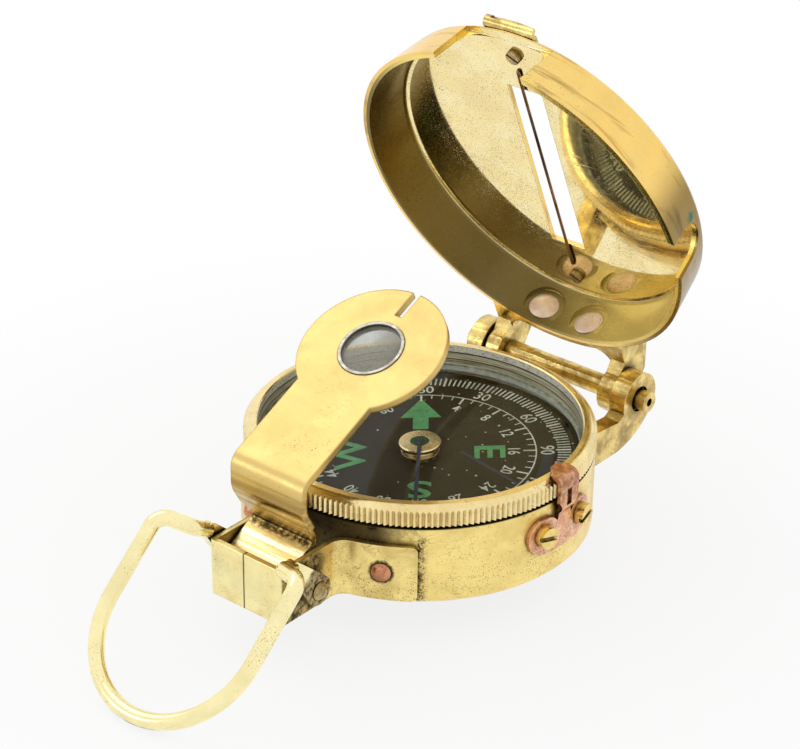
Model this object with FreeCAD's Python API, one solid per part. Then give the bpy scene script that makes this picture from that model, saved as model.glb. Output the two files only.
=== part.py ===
import FreeCAD, Part
import math
import os
from FreeCAD import Vector

os.makedirs("parts", exist_ok=True)

# Folding sighting compass: a round case with a turning bezel and a free card, a cup lid with a
# sighting wire, a lens arm that folds under the lid, and a wire thumb ring.
# Millimetres. Origin at the centre of the case's flat underside, +Z up through the glass,
# +Y towards the lid hinge, +X towards the detent spring.

# clearances
run_fit = 0.05          # radial gap of a shaft in its bore
side_gap = 0.3          # gap between moving neighbours

# case
case_r = 27.4
case_h = 13.1
case_floor = 1.6
case_wall = 1.5
case_edge = 0.8         # rounding under the rim of the base
mouth_wall = 0.9        # what is left of the wall round the bezel's skirt
skirt_r = case_r - mouth_wall
skirt_wall = 0.9
skirt_h = 1.8           # how deep the skirt goes into the case
skirt_z = case_h - skirt_h

# bezel and glass
bezel_over = 0.1        # how far the reeding stands out past the case
bezel_r = case_r + bezel_over
bezel_face = 2.2        # width of the sloping face, reeding to lip
bezel_lip_r = bezel_r - bezel_face
bezel_side_h = 2.2
bezel_h = 3.7
bezel_round = 1.15      # rounding of the face over the reeding
bezel_top = case_h + bezel_h
reed_count = 196
reed_deep = 0.28
glass_drop = 0.1        # underside of the glass below the case mouth
glass_z = case_h - glass_drop
glass_t = 1.0
glass_ring_w = 0.65
glass_ring_h = 0.8
snap_r = 0.25           # section of the wire that keeps the bezel on the case
snap_z = case_h - skirt_h / 2

# card on its needle
card_gap = 1.3          # round the card, to the bezel's skirt
card_r = skirt_r - skirt_wall - card_gap
card_drop = 3.4         # underside of the card below the case mouth
card_z = case_h - card_drop
card_t = 0.6
hub_r = 3.35
hub_waist_r = 2.3
hub_foot_r = 3.0
hub_top_t = 0.6
hub_waist_t = 1.0
hub_foot_t = 0.6
hub_bore_r = 1.1
jewel_r = 1.5
jewel_t = 0.7
jewel_play = 0.1
card_tip = 3.0          # the card leans a little on its needle, degrees
card_tip_to = 203.0     # its lowest edge, degrees round from +Y towards +X
magnet_l = 36.0
magnet_w = 6.0
magnet_t = 1.2
magnet_hole_r = 1.6
post_r = 1.6
needle_r = 0.6
needle_tip_r = 0.12

# strap bracket with its open box, in front of the case
strap_t = 0.9
strap_z = 1.0
strap_h = 9.3
box_half = 7.2          # outside of the box
box_reach = 12.55       # the box's front wall stands this far out from the case
box_front = case_r + box_reach
box_bend_r = 0.15
strap_bend_r = 3.0
strap_reach = 39.0      # where the strap ends round the case, degrees from the front
strap_end_r = 1.0
strap_rivet_at = 28.0
strap_rivet_z = 5.8
strap_rivet_r = 1.5
strap_rivet_h = 0.8
strap_rivet_shank = 0.8

# lens arm
arm_pivot_in = 4.75     # pivot behind the box's front
arm_pivot_y = arm_pivot_in - box_front
arm_pivot_z = 6.0
arm_pin_r = 1.3
arm_t = 1.2
arm_tilt = 25.49        # slope of the plate in the stored pose
arm_half = 7.0
arm_face_y = arm_pivot_y + 0.45     # middle of the upright leaf
arm_rise = 15.84        # height of the plate's corner over the pivot
arm_corner_r = 2.2
arm_lean_z = 17.3       # where the upright leaf starts to lean in
arm_lean_r = 4.0
arm_step_z = 14.2       # where the wide leaf meets the narrow one
groove_y = arm_pivot_y + 4.0
groove_z = 11.1
groove_r = 0.9
arm_neck = 16.48        # corner to the head's rim, along the plate
head_r = 11.8
lens_hole_r = 5.2
lens_r = 4.7
lens_ring_t = 1.5
lens_t = 1.2
slot_w = 1.4
slot_l = 4.9

# thumb ring
ring_pivot_in = 6.15    # pivot behind the box's front
ring_pivot_y = ring_pivot_in - box_front
ring_pivot_z = 5.0
ring_wire_r = 1.25
ring_half = 14.0
ring_tilt = 42.0
ring_knee = (ring_pivot_y - 8.2, ring_pivot_z + 10.0)
ring_leg = 15.6
ring_shoulder = 2.2     # where each leg starts, down from the knee
ring_dip = 2.8          # how far the wire dips between leg and ear
ear_t = 1.5
ear_eye_r = 2.4
ear_tip = (ring_pivot_y - 5.2, ring_pivot_z + 6.0)
ring_rivet_r = 1.0
ring_rivet_head_r = 1.5
ring_rivet_head_t = 0.8

# detent spring
detent_t = 0.7
detent_z = 4.8
detent_h = 6.2
lobe_r = 3.1            # round each screw
lobe_z = 8.1
neck_w = 2.9            # between the lobes and the tongue
detent_hole = (1.2, 2.8)        # oblong hole punched in the tongue
detent_y = 0.2
tongue_w = 4.4
tongue_gap = 0.65       # tongue to the reeding, and over the bezel's lip
tongue_r = bezel_r + tongue_gap     # inside of the upright tongue
tongue_tip_r = 25.6      # how far in the tongue reaches
tongue_top = bezel_top + 0.8
detent_screw_y = 4.3
detent_screw_z = 8.5
screw_head_r = 1.75
screw_head_t = 1.5
screw_slot_w = 0.8
screw_slot_deep = 0.65
screw_shank_r = 0.7

# lid hinge
hinge_out = 9.1         # hinge axis behind the case wall
hinge_y = case_r + hinge_out
hinge_drop = 2.3        # and below its mouth
hinge_z = case_h - hinge_drop
hinge_pin_r = 1.2
pin_head_r = 1.7
pin_head_out = 1.9
pin_drill_r = 0.7
pin_drill_deep = 1.2
lug_in = 13.3
lug_t = 3.0
lug_eye_r = 4.4
lug_foot_z = 3.3
lug_sink_r = 2.2
lug_sink_deep = 0.8
bridge_t = 1.1
bridge_h = 5.2
ear_in = 10.3
lid_ear_r = 3.7
sleeve_r = 1.8

# lid, described closed: rim plane at lid_rim_z, depth measured up from it
lid_open = 66.2         # stored opening angle
lid_lap = 0.5           # rim of the closed lid below the case mouth
lid_rim_z = case_h - lid_lap
lid_over = 2.8          # rim of the closed lid outside the case wall
lid_r = case_r + lid_over
lid_draw = 1.3          # how much narrower its top is
lid_top_r = lid_r - lid_draw
lid_wall = 1.2
lid_depth = 8.97
lid_floor = 0.8
lid_edge_r = 1.4
notch_half = 8.2
side_notch_y = 0.9
side_notch_half = 3.7
side_notch_deep = 7.1
side_notch_r = 3.5
window_half = 3.3
window_margins = (11.7, 12.6)       # from the lid's top edge, front and rear
window_front = window_margins[0] - lid_top_r
window_rear = lid_top_r - window_margins[1]
wire_r = 0.24
wire_front = 7.7 - lid_top_r
wire_rear = lid_top_r - 8.1
wire_pin_gap = 2.85     # from each wire hole to its pin
wire_pin_r = 1.2
wire_pin_h = 0.75
wire_shank_r = 0.8
plate_t = 1.1
plate_z = 0.3
plate_h = 6.9
gusset_r = 3.0          # rounding between the plate and its ears
lid_rivet_x = 4.8
lid_rivet_z = 3.3
lid_rivet_r = 2.6
lid_rivet_h = 0.6
lid_rivet_shank = 1.1
seat_r = 3.5
seat_deep = 0.2
latch_x = (-4.9, 4.4)
latch_t = 0.7
latch_roll_r = 1.0
latch_press = 9.0       # slope of the pressed end, degrees
latch_reach = 4.5       # how far the clip lies over the lid's top

up = Vector(0, 0, 1)
along_x = Vector(1, 0, 0)
hinge = Vector(0, hinge_y, hinge_z)
lid_top = lid_rim_z + lid_depth
lid_inner = lid_top - lid_floor


def cyl(r, h, base, axis=up):
    return Part.makeCylinder(r, h, Vector(*base), Vector(*axis))


def tube(r_out, r_in, h, base, axis=up):
    return cyl(r_out, h, base, axis).cut(cyl(r_in, h, base, axis))


def block(x, y, z):
    return Part.makeBox(x[1] - x[0], y[1] - y[0], z[1] - z[0], Vector(x[0], y[0], z[0]))


def face_of(points):
    return Part.Face(Part.makePolygon([*points, points[0]]))


def turned(profile, angle=360.0):
    """A solid of revolution about the case axis from (radius, height) points."""
    return face_of([Vector(r, 0, z) for r, z in profile]).revolve(Vector(), up, angle)


def plate_yz(points, x0, x1):
    """A flat plate between two planes across X, from (y, z) points."""
    return face_of([Vector(x0, y, z) for y, z in points]).extrude(Vector(x1 - x0, 0, 0))


def bent_edges(points, radii):
    """Straight runs joined by tangent arcs."""
    edges, start = [], points[0]
    for corner, after, r in zip(points[1:-1], points[2:], radii):
        a, b = (corner - start).normalize(), (after - corner).normalize()
        turn = a.getAngle(b)
        reach = r * math.tan(turn / 2)
        p, q = corner - a * reach, corner + b * reach
        inward = (b - a).normalize()
        middle = corner + inward * (r / math.cos(turn / 2) - r)
        if (p - start).Length > 1e-4:
            edges.append(Part.makeLine(start, p))
        edges.append(Part.Arc(p, middle, q).toShape())
        start = q
    if (points[-1] - start).Length > 1e-4:
        edges.append(Part.makeLine(start, points[-1]))
    return edges


def strip(points, radii, thick, place):
    """The edge-on face of bent sheet: points run along its middle, radii are its bends."""
    flat = [Vector(u, v, 0) for u, v in points]
    sides = []
    for side in (1, -1):
        line, bends = [], []
        for i, p in enumerate(flat):
            before = (p - flat[i - 1]).normalize() if i else None
            after = (flat[i + 1] - p).normalize() if i + 1 < len(flat) else None
            before, after = before or after, after or before
            mean = (before + after).normalize()
            normal = Vector(-mean.y, mean.x, 0)
            half = thick / 2 / max(0.05, math.cos(before.getAngle(after) / 2))
            line.append(p + normal * side * half)
            if 0 < i < len(flat) - 1:
                left = before.x * after.y - before.y * after.x > 0
                r = radii[i - 1] + (-1 if left else 1) * side * thick / 2
                bends.append(max(0.05, r))
        sides.append((line, bends))
    (a, ra), (b, rb) = sides
    b, rb = b[::-1], rb[::-1]
    outline = [place(p) for p in a], [place(p) for p in b]
    edges = bent_edges(outline[0], ra) + [Part.makeLine(outline[0][-1], outline[1][0])]
    edges += bent_edges(outline[1], rb) + [Part.makeLine(outline[1][-1], outline[0][0])]
    return Part.Face(Part.Wire(Part.__sortEdges__(edges)))


def round_case(angle, r, z):
    """A point on a cylinder round the case axis, angle from the front towards +X."""
    a = math.radians(angle)
    return Vector(r * math.sin(a), -r * math.cos(a), z)


def outward(angle):
    return round_case(angle, 1.0, 0.0)


def save(name, *solids):
    shape = solids[0] if len(solids) == 1 else Part.makeCompound(solids)
    if shape.ShapeType == "Compound" and len(shape.Solids) == 1:
        shape = shape.Solids[0]
    shape.exportStep(f"parts/{name}.step")


# ---- case and bezel ----

def case_body():
    inner = case_r - case_wall
    mouth = skirt_r + run_fit
    profile = [(0, 0), (case_r - case_edge, 0), (case_r, case_edge), (case_r, case_h),
               (mouth, case_h), (mouth, skirt_z - side_gap), (inner, skirt_z - side_gap),
               (inner, case_floor), (0, case_floor)]
    body = turned(profile).cut(snap_wire_ring())
    for side in (1, -1):
        angle = side * strap_rivet_at
        hole = cyl(strap_rivet_shank, 4, round_case(angle, case_r - 2, strap_rivet_z), outward(angle))
        body = body.cut(hole)
        angle = detent_angle(side)
        hole = cyl(screw_shank_r, 4, round_case(angle, case_r - 2, detent_screw_z), outward(angle))
        body = body.cut(hole)
    return body


def snap_wire_ring():
    return Part.makeTorus(skirt_r + run_fit, snap_r, Vector(0, 0, snap_z))


def bezel_ring():
    low = case_h + side_gap
    inner = skirt_r - skirt_wall
    shoulder = low + bezel_side_h
    root = bezel_r - reed_deep
    crown = Vector(root - bezel_round, 0, bezel_top - 0.1)
    flank = Vector(root - 0.05, 0, bezel_top - 0.1 - bezel_round)
    heart = Vector(crown.x, 0, flank.z)
    bow = heart + Vector(flank.x - heart.x, 0, crown.z - heart.z) * math.sin(math.radians(45))
    before = [(bezel_lip_r + 0.2, bezel_top), (bezel_lip_r, bezel_top - 0.2),
              (bezel_lip_r, glass_z + glass_t), (inner, glass_z + glass_t), (inner, skirt_z),
              (skirt_r, skirt_z), (skirt_r, low), (root, low), (root, shoulder)]
    line = [crown] + [Vector(r, 0, z) for r, z in before] + [flank]
    edges = [Part.makeLine(p, q) for p, q in zip(line, line[1:])]
    edges.append(Part.Arc(flank, bow, crown).toShape())
    body = Part.Face(Part.Wire(edges)).revolve(Vector(), up, 360)
    groove = snap_r + side_gap
    body = body.cut(tube(skirt_r + 1, skirt_r + run_fit - groove, 2 * groove,
                         (0, 0, snap_z - groove)))
    step = 2 * math.pi / reed_count
    points = []
    for i in range(reed_count):
        for part, r in ((0.05, root), (0.4, bezel_r), (0.6, bezel_r), (0.95, root)):
            a = (i + part) * step
            points.append(Vector(r * math.cos(a), r * math.sin(a), low))
    reeds = face_of(points).extrude(Vector(0, 0, bezel_side_h + 1.0))
    reeds = reeds.cut(cyl(root - 0.4, bezel_side_h + 1.0, (0, 0, low)))
    run_out = [(bezel_r + 0.1, low - 1), (bezel_r + 0.1, shoulder), (bezel_r - 0.9, shoulder + 0.9),
               (0, shoulder + 0.9), (0, low - 1)]
    reeds = reeds.common(turned(run_out))
    return body.fuse(reeds).removeSplitter()


def bezel_glass():
    return cyl(skirt_r - skirt_wall, glass_t, (0, 0, glass_z))


def glass_ring():
    r = skirt_r - skirt_wall
    return tube(r, r - glass_ring_w, glass_ring_h, (0, 0, glass_z - glass_ring_h))


# ---- card ----

def tipped(shape):
    """Leans a piece of the card about the needle's tip."""
    a = math.radians(card_tip_to)
    low_side = Vector(math.sin(a), math.cos(a), 0)
    return shape.rotated(Vector(0, 0, hub_levels()[3] - jewel_t), up.cross(low_side), card_tip)


def compass_card():
    return tube(card_r, hub_bore_r, card_t, (0, 0, card_z))


def hub_levels():
    foot = card_z + card_t
    waist = foot + hub_foot_t
    top = waist + hub_waist_t
    return foot, waist, top, top + hub_top_t


def card_hub():
    foot, waist, top, end = hub_levels()
    profile = [(hub_bore_r, foot), (hub_foot_r, foot), (hub_foot_r, waist), (hub_waist_r, waist),
               (hub_waist_r, top), (hub_r, top), (hub_r, end - 0.15), (hub_r - 0.15, end),
               (jewel_r, end), (jewel_r, end - jewel_t), (hub_bore_r, end - jewel_t)]
    return turned(profile)


def jewel():
    end = hub_levels()[3]
    return cyl(jewel_r, jewel_t, (0, 0, end - jewel_t))


def magnet_bar():
    low = card_z - magnet_t
    bar = block((-magnet_w / 2, magnet_w / 2), (-magnet_l / 2, magnet_l / 2), (low, card_z))
    return bar.cut(cyl(magnet_hole_r, magnet_t, (0, 0, low)))


def pivot_post():
    low = card_z - magnet_t - side_gap - post_r * math.tan(math.radians(card_tip))
    return cyl(post_r, low - case_floor, (0, 0, case_floor))


def pivot_needle():
    low = card_z - magnet_t - side_gap - post_r * math.tan(math.radians(card_tip))
    tip = hub_levels()[3] - jewel_t - jewel_play
    return Part.makeCone(needle_r, needle_tip_r, tip - low, Vector(0, 0, low))


# ---- strap bracket ----

def front_bracket():
    wall = box_half - strap_t / 2
    front = -(box_front - strap_t / 2)
    r = case_r + strap_t / 2
    bend_x = wall + strap_bend_r
    bend_y = -math.sqrt((r + strap_bend_r) ** 2 - bend_x ** 2)
    join = math.degrees(math.atan2(bend_x, -bend_y))
    middle = (join + strap_reach) / 2
    far = r / math.cos(math.radians(strap_reach - join) / 2)
    touch = round_case(join, r, 0)
    slope = math.tan(math.radians(join))
    half = [tuple(round_case(strap_reach, r, 0))[:2], tuple(round_case(middle, far, 0))[:2],
            (wall, touch.y - (touch.x - wall) * slope), (wall, front)]
    path = half + [(-x, y) for x, y in half[::-1]]
    bends = [r, strap_bend_r, box_bend_r]
    sheet = strip(path, bends + bends[::-1], strap_t, lambda p: Vector(p.x, p.y, strap_z))
    body = sheet.extrude(Vector(0, 0, strap_h))
    ends = [e for e in body.Edges if is_strap_corner(e)]
    body = body.makeFillet(strap_end_r, ends)
    body = body.cut(cyl(arm_pin_r, 2 * box_half, (-box_half, arm_pivot_y, arm_pivot_z), along_x))
    for side in (1, -1):
        angle = side * strap_rivet_at
        body = body.cut(cyl(strap_rivet_shank, 4, round_case(angle, case_r - 1, strap_rivet_z),
                            outward(angle)))
    return body


def is_strap_corner(edge):
    a, b = (v.Point for v in edge.Vertexes) if len(edge.Vertexes) == 2 else (None, None)
    if a is None or abs(a.z - b.z) > 1e-4 or abs((a - b).Length - strap_t) > 1e-3:
        return False
    angle = math.degrees(math.atan2(abs(a.x), -a.y))
    return abs(angle - strap_reach) < 0.1 and abs(abs(b.x) - abs(a.x)) > 1e-3


def domed_rivet(r, h, shank_r, deep, base, axis):
    """A rivet whose head stands on base; its shank runs back the other way."""
    axis = Vector(*axis)
    ball_r = (r * r + h * h) / (2 * h)
    ball = Part.makeSphere(ball_r, Vector(*base) + axis * (h - ball_r))
    head = ball.common(cyl(r, h, base, axis))
    return head.fuse(cyl(shank_r, deep, Vector(*base) - axis * deep, axis)).removeSplitter()


def bracket_rivets():
    rivets = []
    for side in (1, -1):
        angle = side * strap_rivet_at
        base = round_case(angle, case_r + strap_t, strap_rivet_z)
        rivets.append(domed_rivet(strap_rivet_r, strap_rivet_h, strap_rivet_shank,
                                  strap_t + case_wall, base, outward(angle)))
    full = cyl(case_r + strap_t, strap_h, (0, 0, strap_z))
    skin = strap_t / 6
    return [r.fuse(cyl(strap_rivet_r, 2 * skin, round_case(s * strap_rivet_at, case_r + strap_t - skin,
            strap_rivet_z), outward(s * strap_rivet_at)).cut(full)).removeSplitter()
            for s, r in zip((1, -1), rivets)]


# ---- lens arm ----

def arm_frame():
    """The plate's corner and its direction, on the middle of the sheet."""
    a = math.radians(arm_tilt)
    corner = (arm_face_y, arm_pivot_z + arm_rise)
    return corner, (math.cos(a), math.sin(a))


def arm_point(s, lift=0.0):
    (y, z), (cy, cz) = arm_frame()
    return Vector(0, y + s * cy - lift * cz, z + s * cz + lift * cy)


def arm_normal():
    (cy, cz) = arm_frame()[1]
    return Vector(0, -cz, cy)


def head_at():
    return arm_neck - 0.4 + math.sqrt(head_r ** 2 - arm_half ** 2)


def sight_arm():
    def place(x):
        return lambda p: Vector(x, p.x, p.y)
    corner = arm_frame()[0]
    leaf_half = box_half - strap_t - side_gap
    knuckle = arm_pin_r + run_fit + arm_t
    turn_y = arm_pivot_y - (knuckle - arm_t / 2)
    leaf_z = groove_z - 0.62 * (groove_y - turn_y)
    lean = (groove_y - arm_face_y) / (arm_lean_z - groove_z)

    def leaning(z):
        return (arm_face_y + lean * (arm_lean_z - z), z)
    end = arm_point(head_at())
    low = strip([(turn_y, arm_pivot_z), (turn_y, leaf_z), (groove_y, groove_z), leaning(arm_step_z + 0.8)],
                [2.0, groove_r], arm_t, place(-leaf_half))
    low = low.extrude(Vector(2 * leaf_half, 0, 0))
    high = strip([leaning(arm_step_z), leaning(arm_lean_z), corner, (end.y, end.z)],
                 [arm_lean_r, arm_corner_r], arm_t, place(-arm_half))
    high = high.extrude(Vector(2 * arm_half, 0, 0))
    eye = tube(knuckle, arm_pin_r + run_fit, 2 * leaf_half,
               (-leaf_half, arm_pivot_y, arm_pivot_z), along_x)
    normal = arm_normal()
    disc = cyl(head_r, arm_t, arm_point(head_at(), -arm_t / 2), normal)
    body = high.fuse([low.cut(cyl(arm_pin_r + run_fit, 4 * leaf_half,
                                  (-2 * leaf_half, arm_pivot_y, arm_pivot_z), along_x)), eye, disc])
    body = body.cut(cyl(lens_hole_r, 2 * arm_t, arm_point(head_at(), -arm_t), normal))
    slot = block((-slot_w / 2, slot_w / 2), (0, slot_l + 2), (-arm_t, arm_t))
    slot.rotate(Vector(), along_x, arm_tilt)
    slot.translate(arm_point(head_at() + head_r - slot_l))
    return body.cut(slot).removeSplitter()


def lens_ring():
    normal = arm_normal()
    base = arm_point(head_at(), -lens_ring_t / 2)
    return tube(lens_hole_r, lens_r, lens_ring_t, base, normal)


def sight_lens():
    normal = arm_normal()
    bulge = (lens_r ** 2 + (lens_t * 0.3) ** 2) / (0.6 * lens_t)
    low = arm_point(head_at(), -lens_t / 2)
    ball = Part.makeSphere(bulge, low + normal * (lens_t - bulge))
    return cyl(lens_r, lens_t, low, normal).common(ball)


def arm_pin():
    return cyl(arm_pin_r, 2 * box_half, (-box_half, arm_pivot_y, arm_pivot_z), along_x)


# ---- thumb ring ----

def thumb_ring():
    a = math.radians(ring_tilt)
    knee_y, knee_z = ring_knee

    def at(x, s):
        return Vector(x, knee_y - s * math.cos(a), knee_z - s * math.sin(a))
    ear_x = box_half + side_gap + ear_t / 2
    tip = Vector(ear_x, *ear_tip)
    bottom = ring_leg + ring_half
    half = [tip, Vector(ear_x + 0.5, knee_y + 0.6, knee_z - ring_dip), at(ring_half, ring_shoulder),
            at(ring_half, bottom)]
    path = half + [Vector(-p.x, p.y, p.z) for p in half[::-1]]
    radii = [1.6, 2.4, ring_half - 0.001, ring_half - 0.001, 2.4, 1.6]
    spine = Part.Wire(bent_edges(path, radii))
    first = (half[1] - half[0]).normalize()
    circle = Part.Wire(Part.makeCircle(ring_wire_r, tip, first))
    wire = spine.makePipeShell([circle], True, False)
    ears = []
    for side in (1, -1):
        x0 = side * (box_half + side_gap)
        x1 = side * (box_half + side_gap + ear_t)
        base = Vector(min(x0, x1), ring_pivot_y, ring_pivot_z)
        eye = cyl(ear_eye_r, ear_t, base, along_x)
        ear = eye.fuse(plate_yz(hull_outline(), min(x0, x1), max(x0, x1)))
        ear = ear.fuse(cyl(ring_wire_r, ear_t, (min(x0, x1), *ear_tip), along_x))
        ear = ear.cut(cyl(ring_rivet_r + run_fit, ear_t, base, along_x))
        ears.append(ear)
    return wire.fuse(ears).removeSplitter()


def hull_outline():
    """The tangent quad between the ear's eye and its narrow tip."""
    ty, tz = ear_tip
    dy, dz = ty - ring_pivot_y, tz - ring_pivot_z
    d = math.hypot(dy, dz)
    lean = math.acos((ear_eye_r - ring_wire_r) / d)
    facing = math.atan2(dz, dy)
    corners = []
    for sign, order in ((1, 0), (-1, 1)):
        c, s = math.cos(facing + sign * lean), math.sin(facing + sign * lean)
        pair = [(ring_pivot_y + ear_eye_r * c, ring_pivot_z + ear_eye_r * s),
                (ty + ring_wire_r * c, tz + ring_wire_r * s)]
        corners += pair[::-1] if order else pair
    return corners


def ring_rivets():
    rivets = []
    head = box_half + side_gap + ear_t + 0.1
    for side in (1, -1):
        base = (side * box_half, ring_pivot_y, ring_pivot_z)
        shank = cyl(ring_rivet_r, head - box_half, base, (side, 0, 0))
        cap = domed_rivet(ring_rivet_head_r, ring_rivet_head_t, ring_rivet_r, 0.5,
                          (side * head, ring_pivot_y, ring_pivot_z), (side, 0, 0))
        rivets.append(shank.fuse(cap).removeSplitter())
    return rivets


# ---- detent spring ----

def detent_angle(side):
    return 90.0 + math.degrees(math.asin((side * detent_screw_y + detent_y - 0.25) / case_r))


def detent_spring():
    base = tube(case_r + detent_t, case_r, detent_h, (0, 0, detent_z))
    screws = [detent_y + side * detent_screw_y for side in (1, -1)]
    mask = block((0, 2 * case_r), (screws[1], screws[0]),
                 (lobe_z - lobe_r, lobe_z + 0.4 * lobe_r))
    mask = mask.fuse([cyl(lobe_r, 2 * case_r, (0, y, lobe_z), along_x) for y in screws])
    mask = mask.fuse(block((0, 2 * case_r), (detent_y - neck_w / 2, detent_y + neck_w / 2),
                           (lobe_z, detent_z + detent_h)))
    base = base.common(mask)
    foot = detent_z + detent_h / 2
    lift = detent_z + detent_h
    mid = tongue_r + detent_t / 2
    path = [(case_r + detent_t / 2, foot), (case_r + detent_t / 2, lift), (mid, lift + 0.9),
            (mid, tongue_top - 0.8), (tongue_tip_r, tongue_top)]
    sheet = strip(path, [0.8, 0.8, 0.9], detent_t, lambda p: Vector(p.x, detent_y - tongue_w / 2, p.y))
    tongue = sheet.extrude(Vector(0, tongue_w, 0))
    tongue = tongue.cut(cyl(case_r, case_h, (0, 0, 0)))
    for side in (1, -1):
        y = detent_y + side * (neck_w / 2 + lobe_r)
        tongue = tongue.cut(cyl(lobe_r, case_r, (case_r, y, lift), along_x))
    round_in = tongue_tip_r + tongue_w / 2
    keep = cyl(tongue_w / 2, 2 * case_h, (round_in, detent_y, 0))
    keep = keep.fuse(block((round_in, 2 * case_r), (detent_y - tongue_w, detent_y + tongue_w),
                           (0, 2 * case_h)))
    tongue = tongue.common(keep)
    hole_w, hole_l = detent_hole
    hole = block((case_r, case_r + 5), (detent_y - hole_w / 2, detent_y + hole_w / 2),
                 (lift + 1.2, lift + 1.2 + hole_l))
    tongue = tongue.cut(hole)
    body = base.fuse(tongue)
    for side in (1, -1):
        angle = detent_angle(side)
        body = body.cut(cyl(screw_shank_r, 4, round_case(angle, case_r - 1, detent_screw_z),
                            outward(angle)))
    return body.removeSplitter()


def detent_screws():
    screws = []
    skin = cyl(case_r + detent_t, detent_h, (0, 0, detent_z))
    for side in (1, -1):
        angle = detent_angle(side)
        out = outward(angle)
        seat = round_case(angle, case_r + detent_t - 0.1, detent_screw_z)
        head = cyl(screw_head_r, screw_head_t + 0.1, seat, out).cut(skin)
        shank = cyl(screw_shank_r, detent_t + case_wall, round_case(
            angle, case_r - case_wall, detent_screw_z), out)
        slot = block((-screw_slot_deep, 1), (-screw_slot_w / 2, screw_slot_w / 2),
                     (-screw_head_r - 1, screw_head_r + 1))
        slot.rotate(Vector(), along_x, 90 + 12 * side)
        slot.rotate(Vector(), up, angle - 90)
        slot.translate(seat + out * (screw_head_t + 0.1))
        screws.append(head.fuse(shank).cut(slot).removeSplitter())
    return screws


# ---- rear hinge ----

def hinge_bracket():
    lug_out = lug_in + lug_t
    band = turned([(case_r, lug_foot_z), (case_r + bridge_t, lug_foot_z),
                   (case_r + bridge_t, lug_foot_z + bridge_h), (case_r, lug_foot_z + bridge_h)])
    body = band.common(block((-lug_out, lug_out), (0, 2 * case_r), (0, case_h)))
    eye = lug_eye_r
    c = math.cos(math.radians(45))
    for side in (1, -1):
        x0 = min(side * lug_in, side * lug_out)
        low = Vector(x0, hinge_y + eye * c, hinge_z - eye * c)
        foot = Vector(x0, hinge_y - 1.4 * eye, lug_foot_z)
        belly = Vector(x0, (low.y + foot.y) / 2 + 0.75, (low.z + foot.z) / 2 - 0.75)
        back = Vector(x0, case_r * 0.6, lug_foot_z)
        top = Vector(x0, case_r * 0.6, lug_foot_z + bridge_h + 1.4)
        nose = Vector(x0, hinge_y - 1.25 * eye, lug_foot_z + bridge_h + 0.2)
        neck = Vector(x0, hinge_y - 0.95 * eye, hinge_z - 0.3 * eye)
        centre = Vector(x0, hinge_y, hinge_z)
        edges = [Part.makeLine(back, foot), Part.Arc(foot, belly, low).toShape(),
                 Part.makeLine(low, centre), Part.makeLine(centre, neck),
                 Part.makeLine(neck, nose), Part.makeLine(nose, top), Part.makeLine(top, back)]
        lug = Part.Face(Part.Wire(edges)).extrude(Vector(lug_t, 0, 0))
        lug = lug.cut(cyl(case_r, case_h, (0, 0, 0)))
        body = body.fuse([lug, cyl(eye, lug_t, (x0, hinge_y, hinge_z), along_x)])
        sink = cyl(lug_sink_r, lug_sink_deep, (side * (lug_out - lug_sink_deep), hinge_y, hinge_z),
                   (side, 0, 0))
        body = body.cut(sink)
    body = body.cut(cyl(hinge_pin_r, 2 * lug_out, (-lug_out, hinge_y, hinge_z), along_x))
    return body.removeSplitter()


def hinge_pin():
    shoulder = lug_in + lug_t - lug_sink_deep
    end = lug_in + lug_t + pin_head_out
    body = cyl(hinge_pin_r, 2 * shoulder, (-shoulder, hinge_y, hinge_z), along_x)
    for side in (1, -1):
        head = cyl(pin_head_r, end - shoulder, (side * shoulder, hinge_y, hinge_z), (side, 0, 0))
        drill = cyl(pin_drill_r, pin_drill_deep, (side * end, hinge_y, hinge_z), (-side, 0, 0))
        body = body.fuse(head.cut(drill))
    return body.removeSplitter()


def lid_outline(grow=0.0):
    """The lid's outside as (radius, height) points, rounded at the top edge."""
    points = [(0, lid_rim_z), (lid_r + grow, lid_rim_z)]
    slope = (lid_r - lid_top_r) / (lid_depth - lid_edge_r)
    top_z = lid_top - lid_edge_r
    points.append((lid_r - slope * (lid_depth - lid_edge_r) + grow, top_z))
    for a in (22.5, 45.0, 67.5, 90.0):
        t = math.radians(a)
        points.append((lid_top_r - lid_edge_r + (lid_edge_r + grow) * math.cos(t),
                       top_z + (lid_edge_r + grow) * math.sin(t)))
    return points + [(0, points[-1][1])]


def opened(shape):
    """Swings a piece of the closed lid up to its stored angle."""
    return shape.rotated(hinge, along_x, -lid_open)


def lid_angle():
    """The rivets' angle round the lid, from its front, towards +X."""
    return math.degrees(math.asin(lid_rivet_x / lid_r))


def rivet_line(side, r):
    a = math.radians(lid_angle()) * side
    return Vector(r * math.sin(a), r * math.cos(a), lid_rim_z + lid_rivet_z), \
        Vector(math.sin(a), math.cos(a), 0)


def inner_wall_r(depth):
    slope = (lid_r - lid_top_r) / (lid_depth - lid_edge_r)
    return lid_r - lid_wall - slope * depth


def inner_floor_r():
    """The wall's radius where the inner rounding starts, and the flat floor's radius."""
    edge = max(0.2, lid_edge_r - lid_wall / 2)
    low_r = inner_wall_r(lid_depth - lid_floor - edge)
    return edge, low_r, low_r - edge


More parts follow.
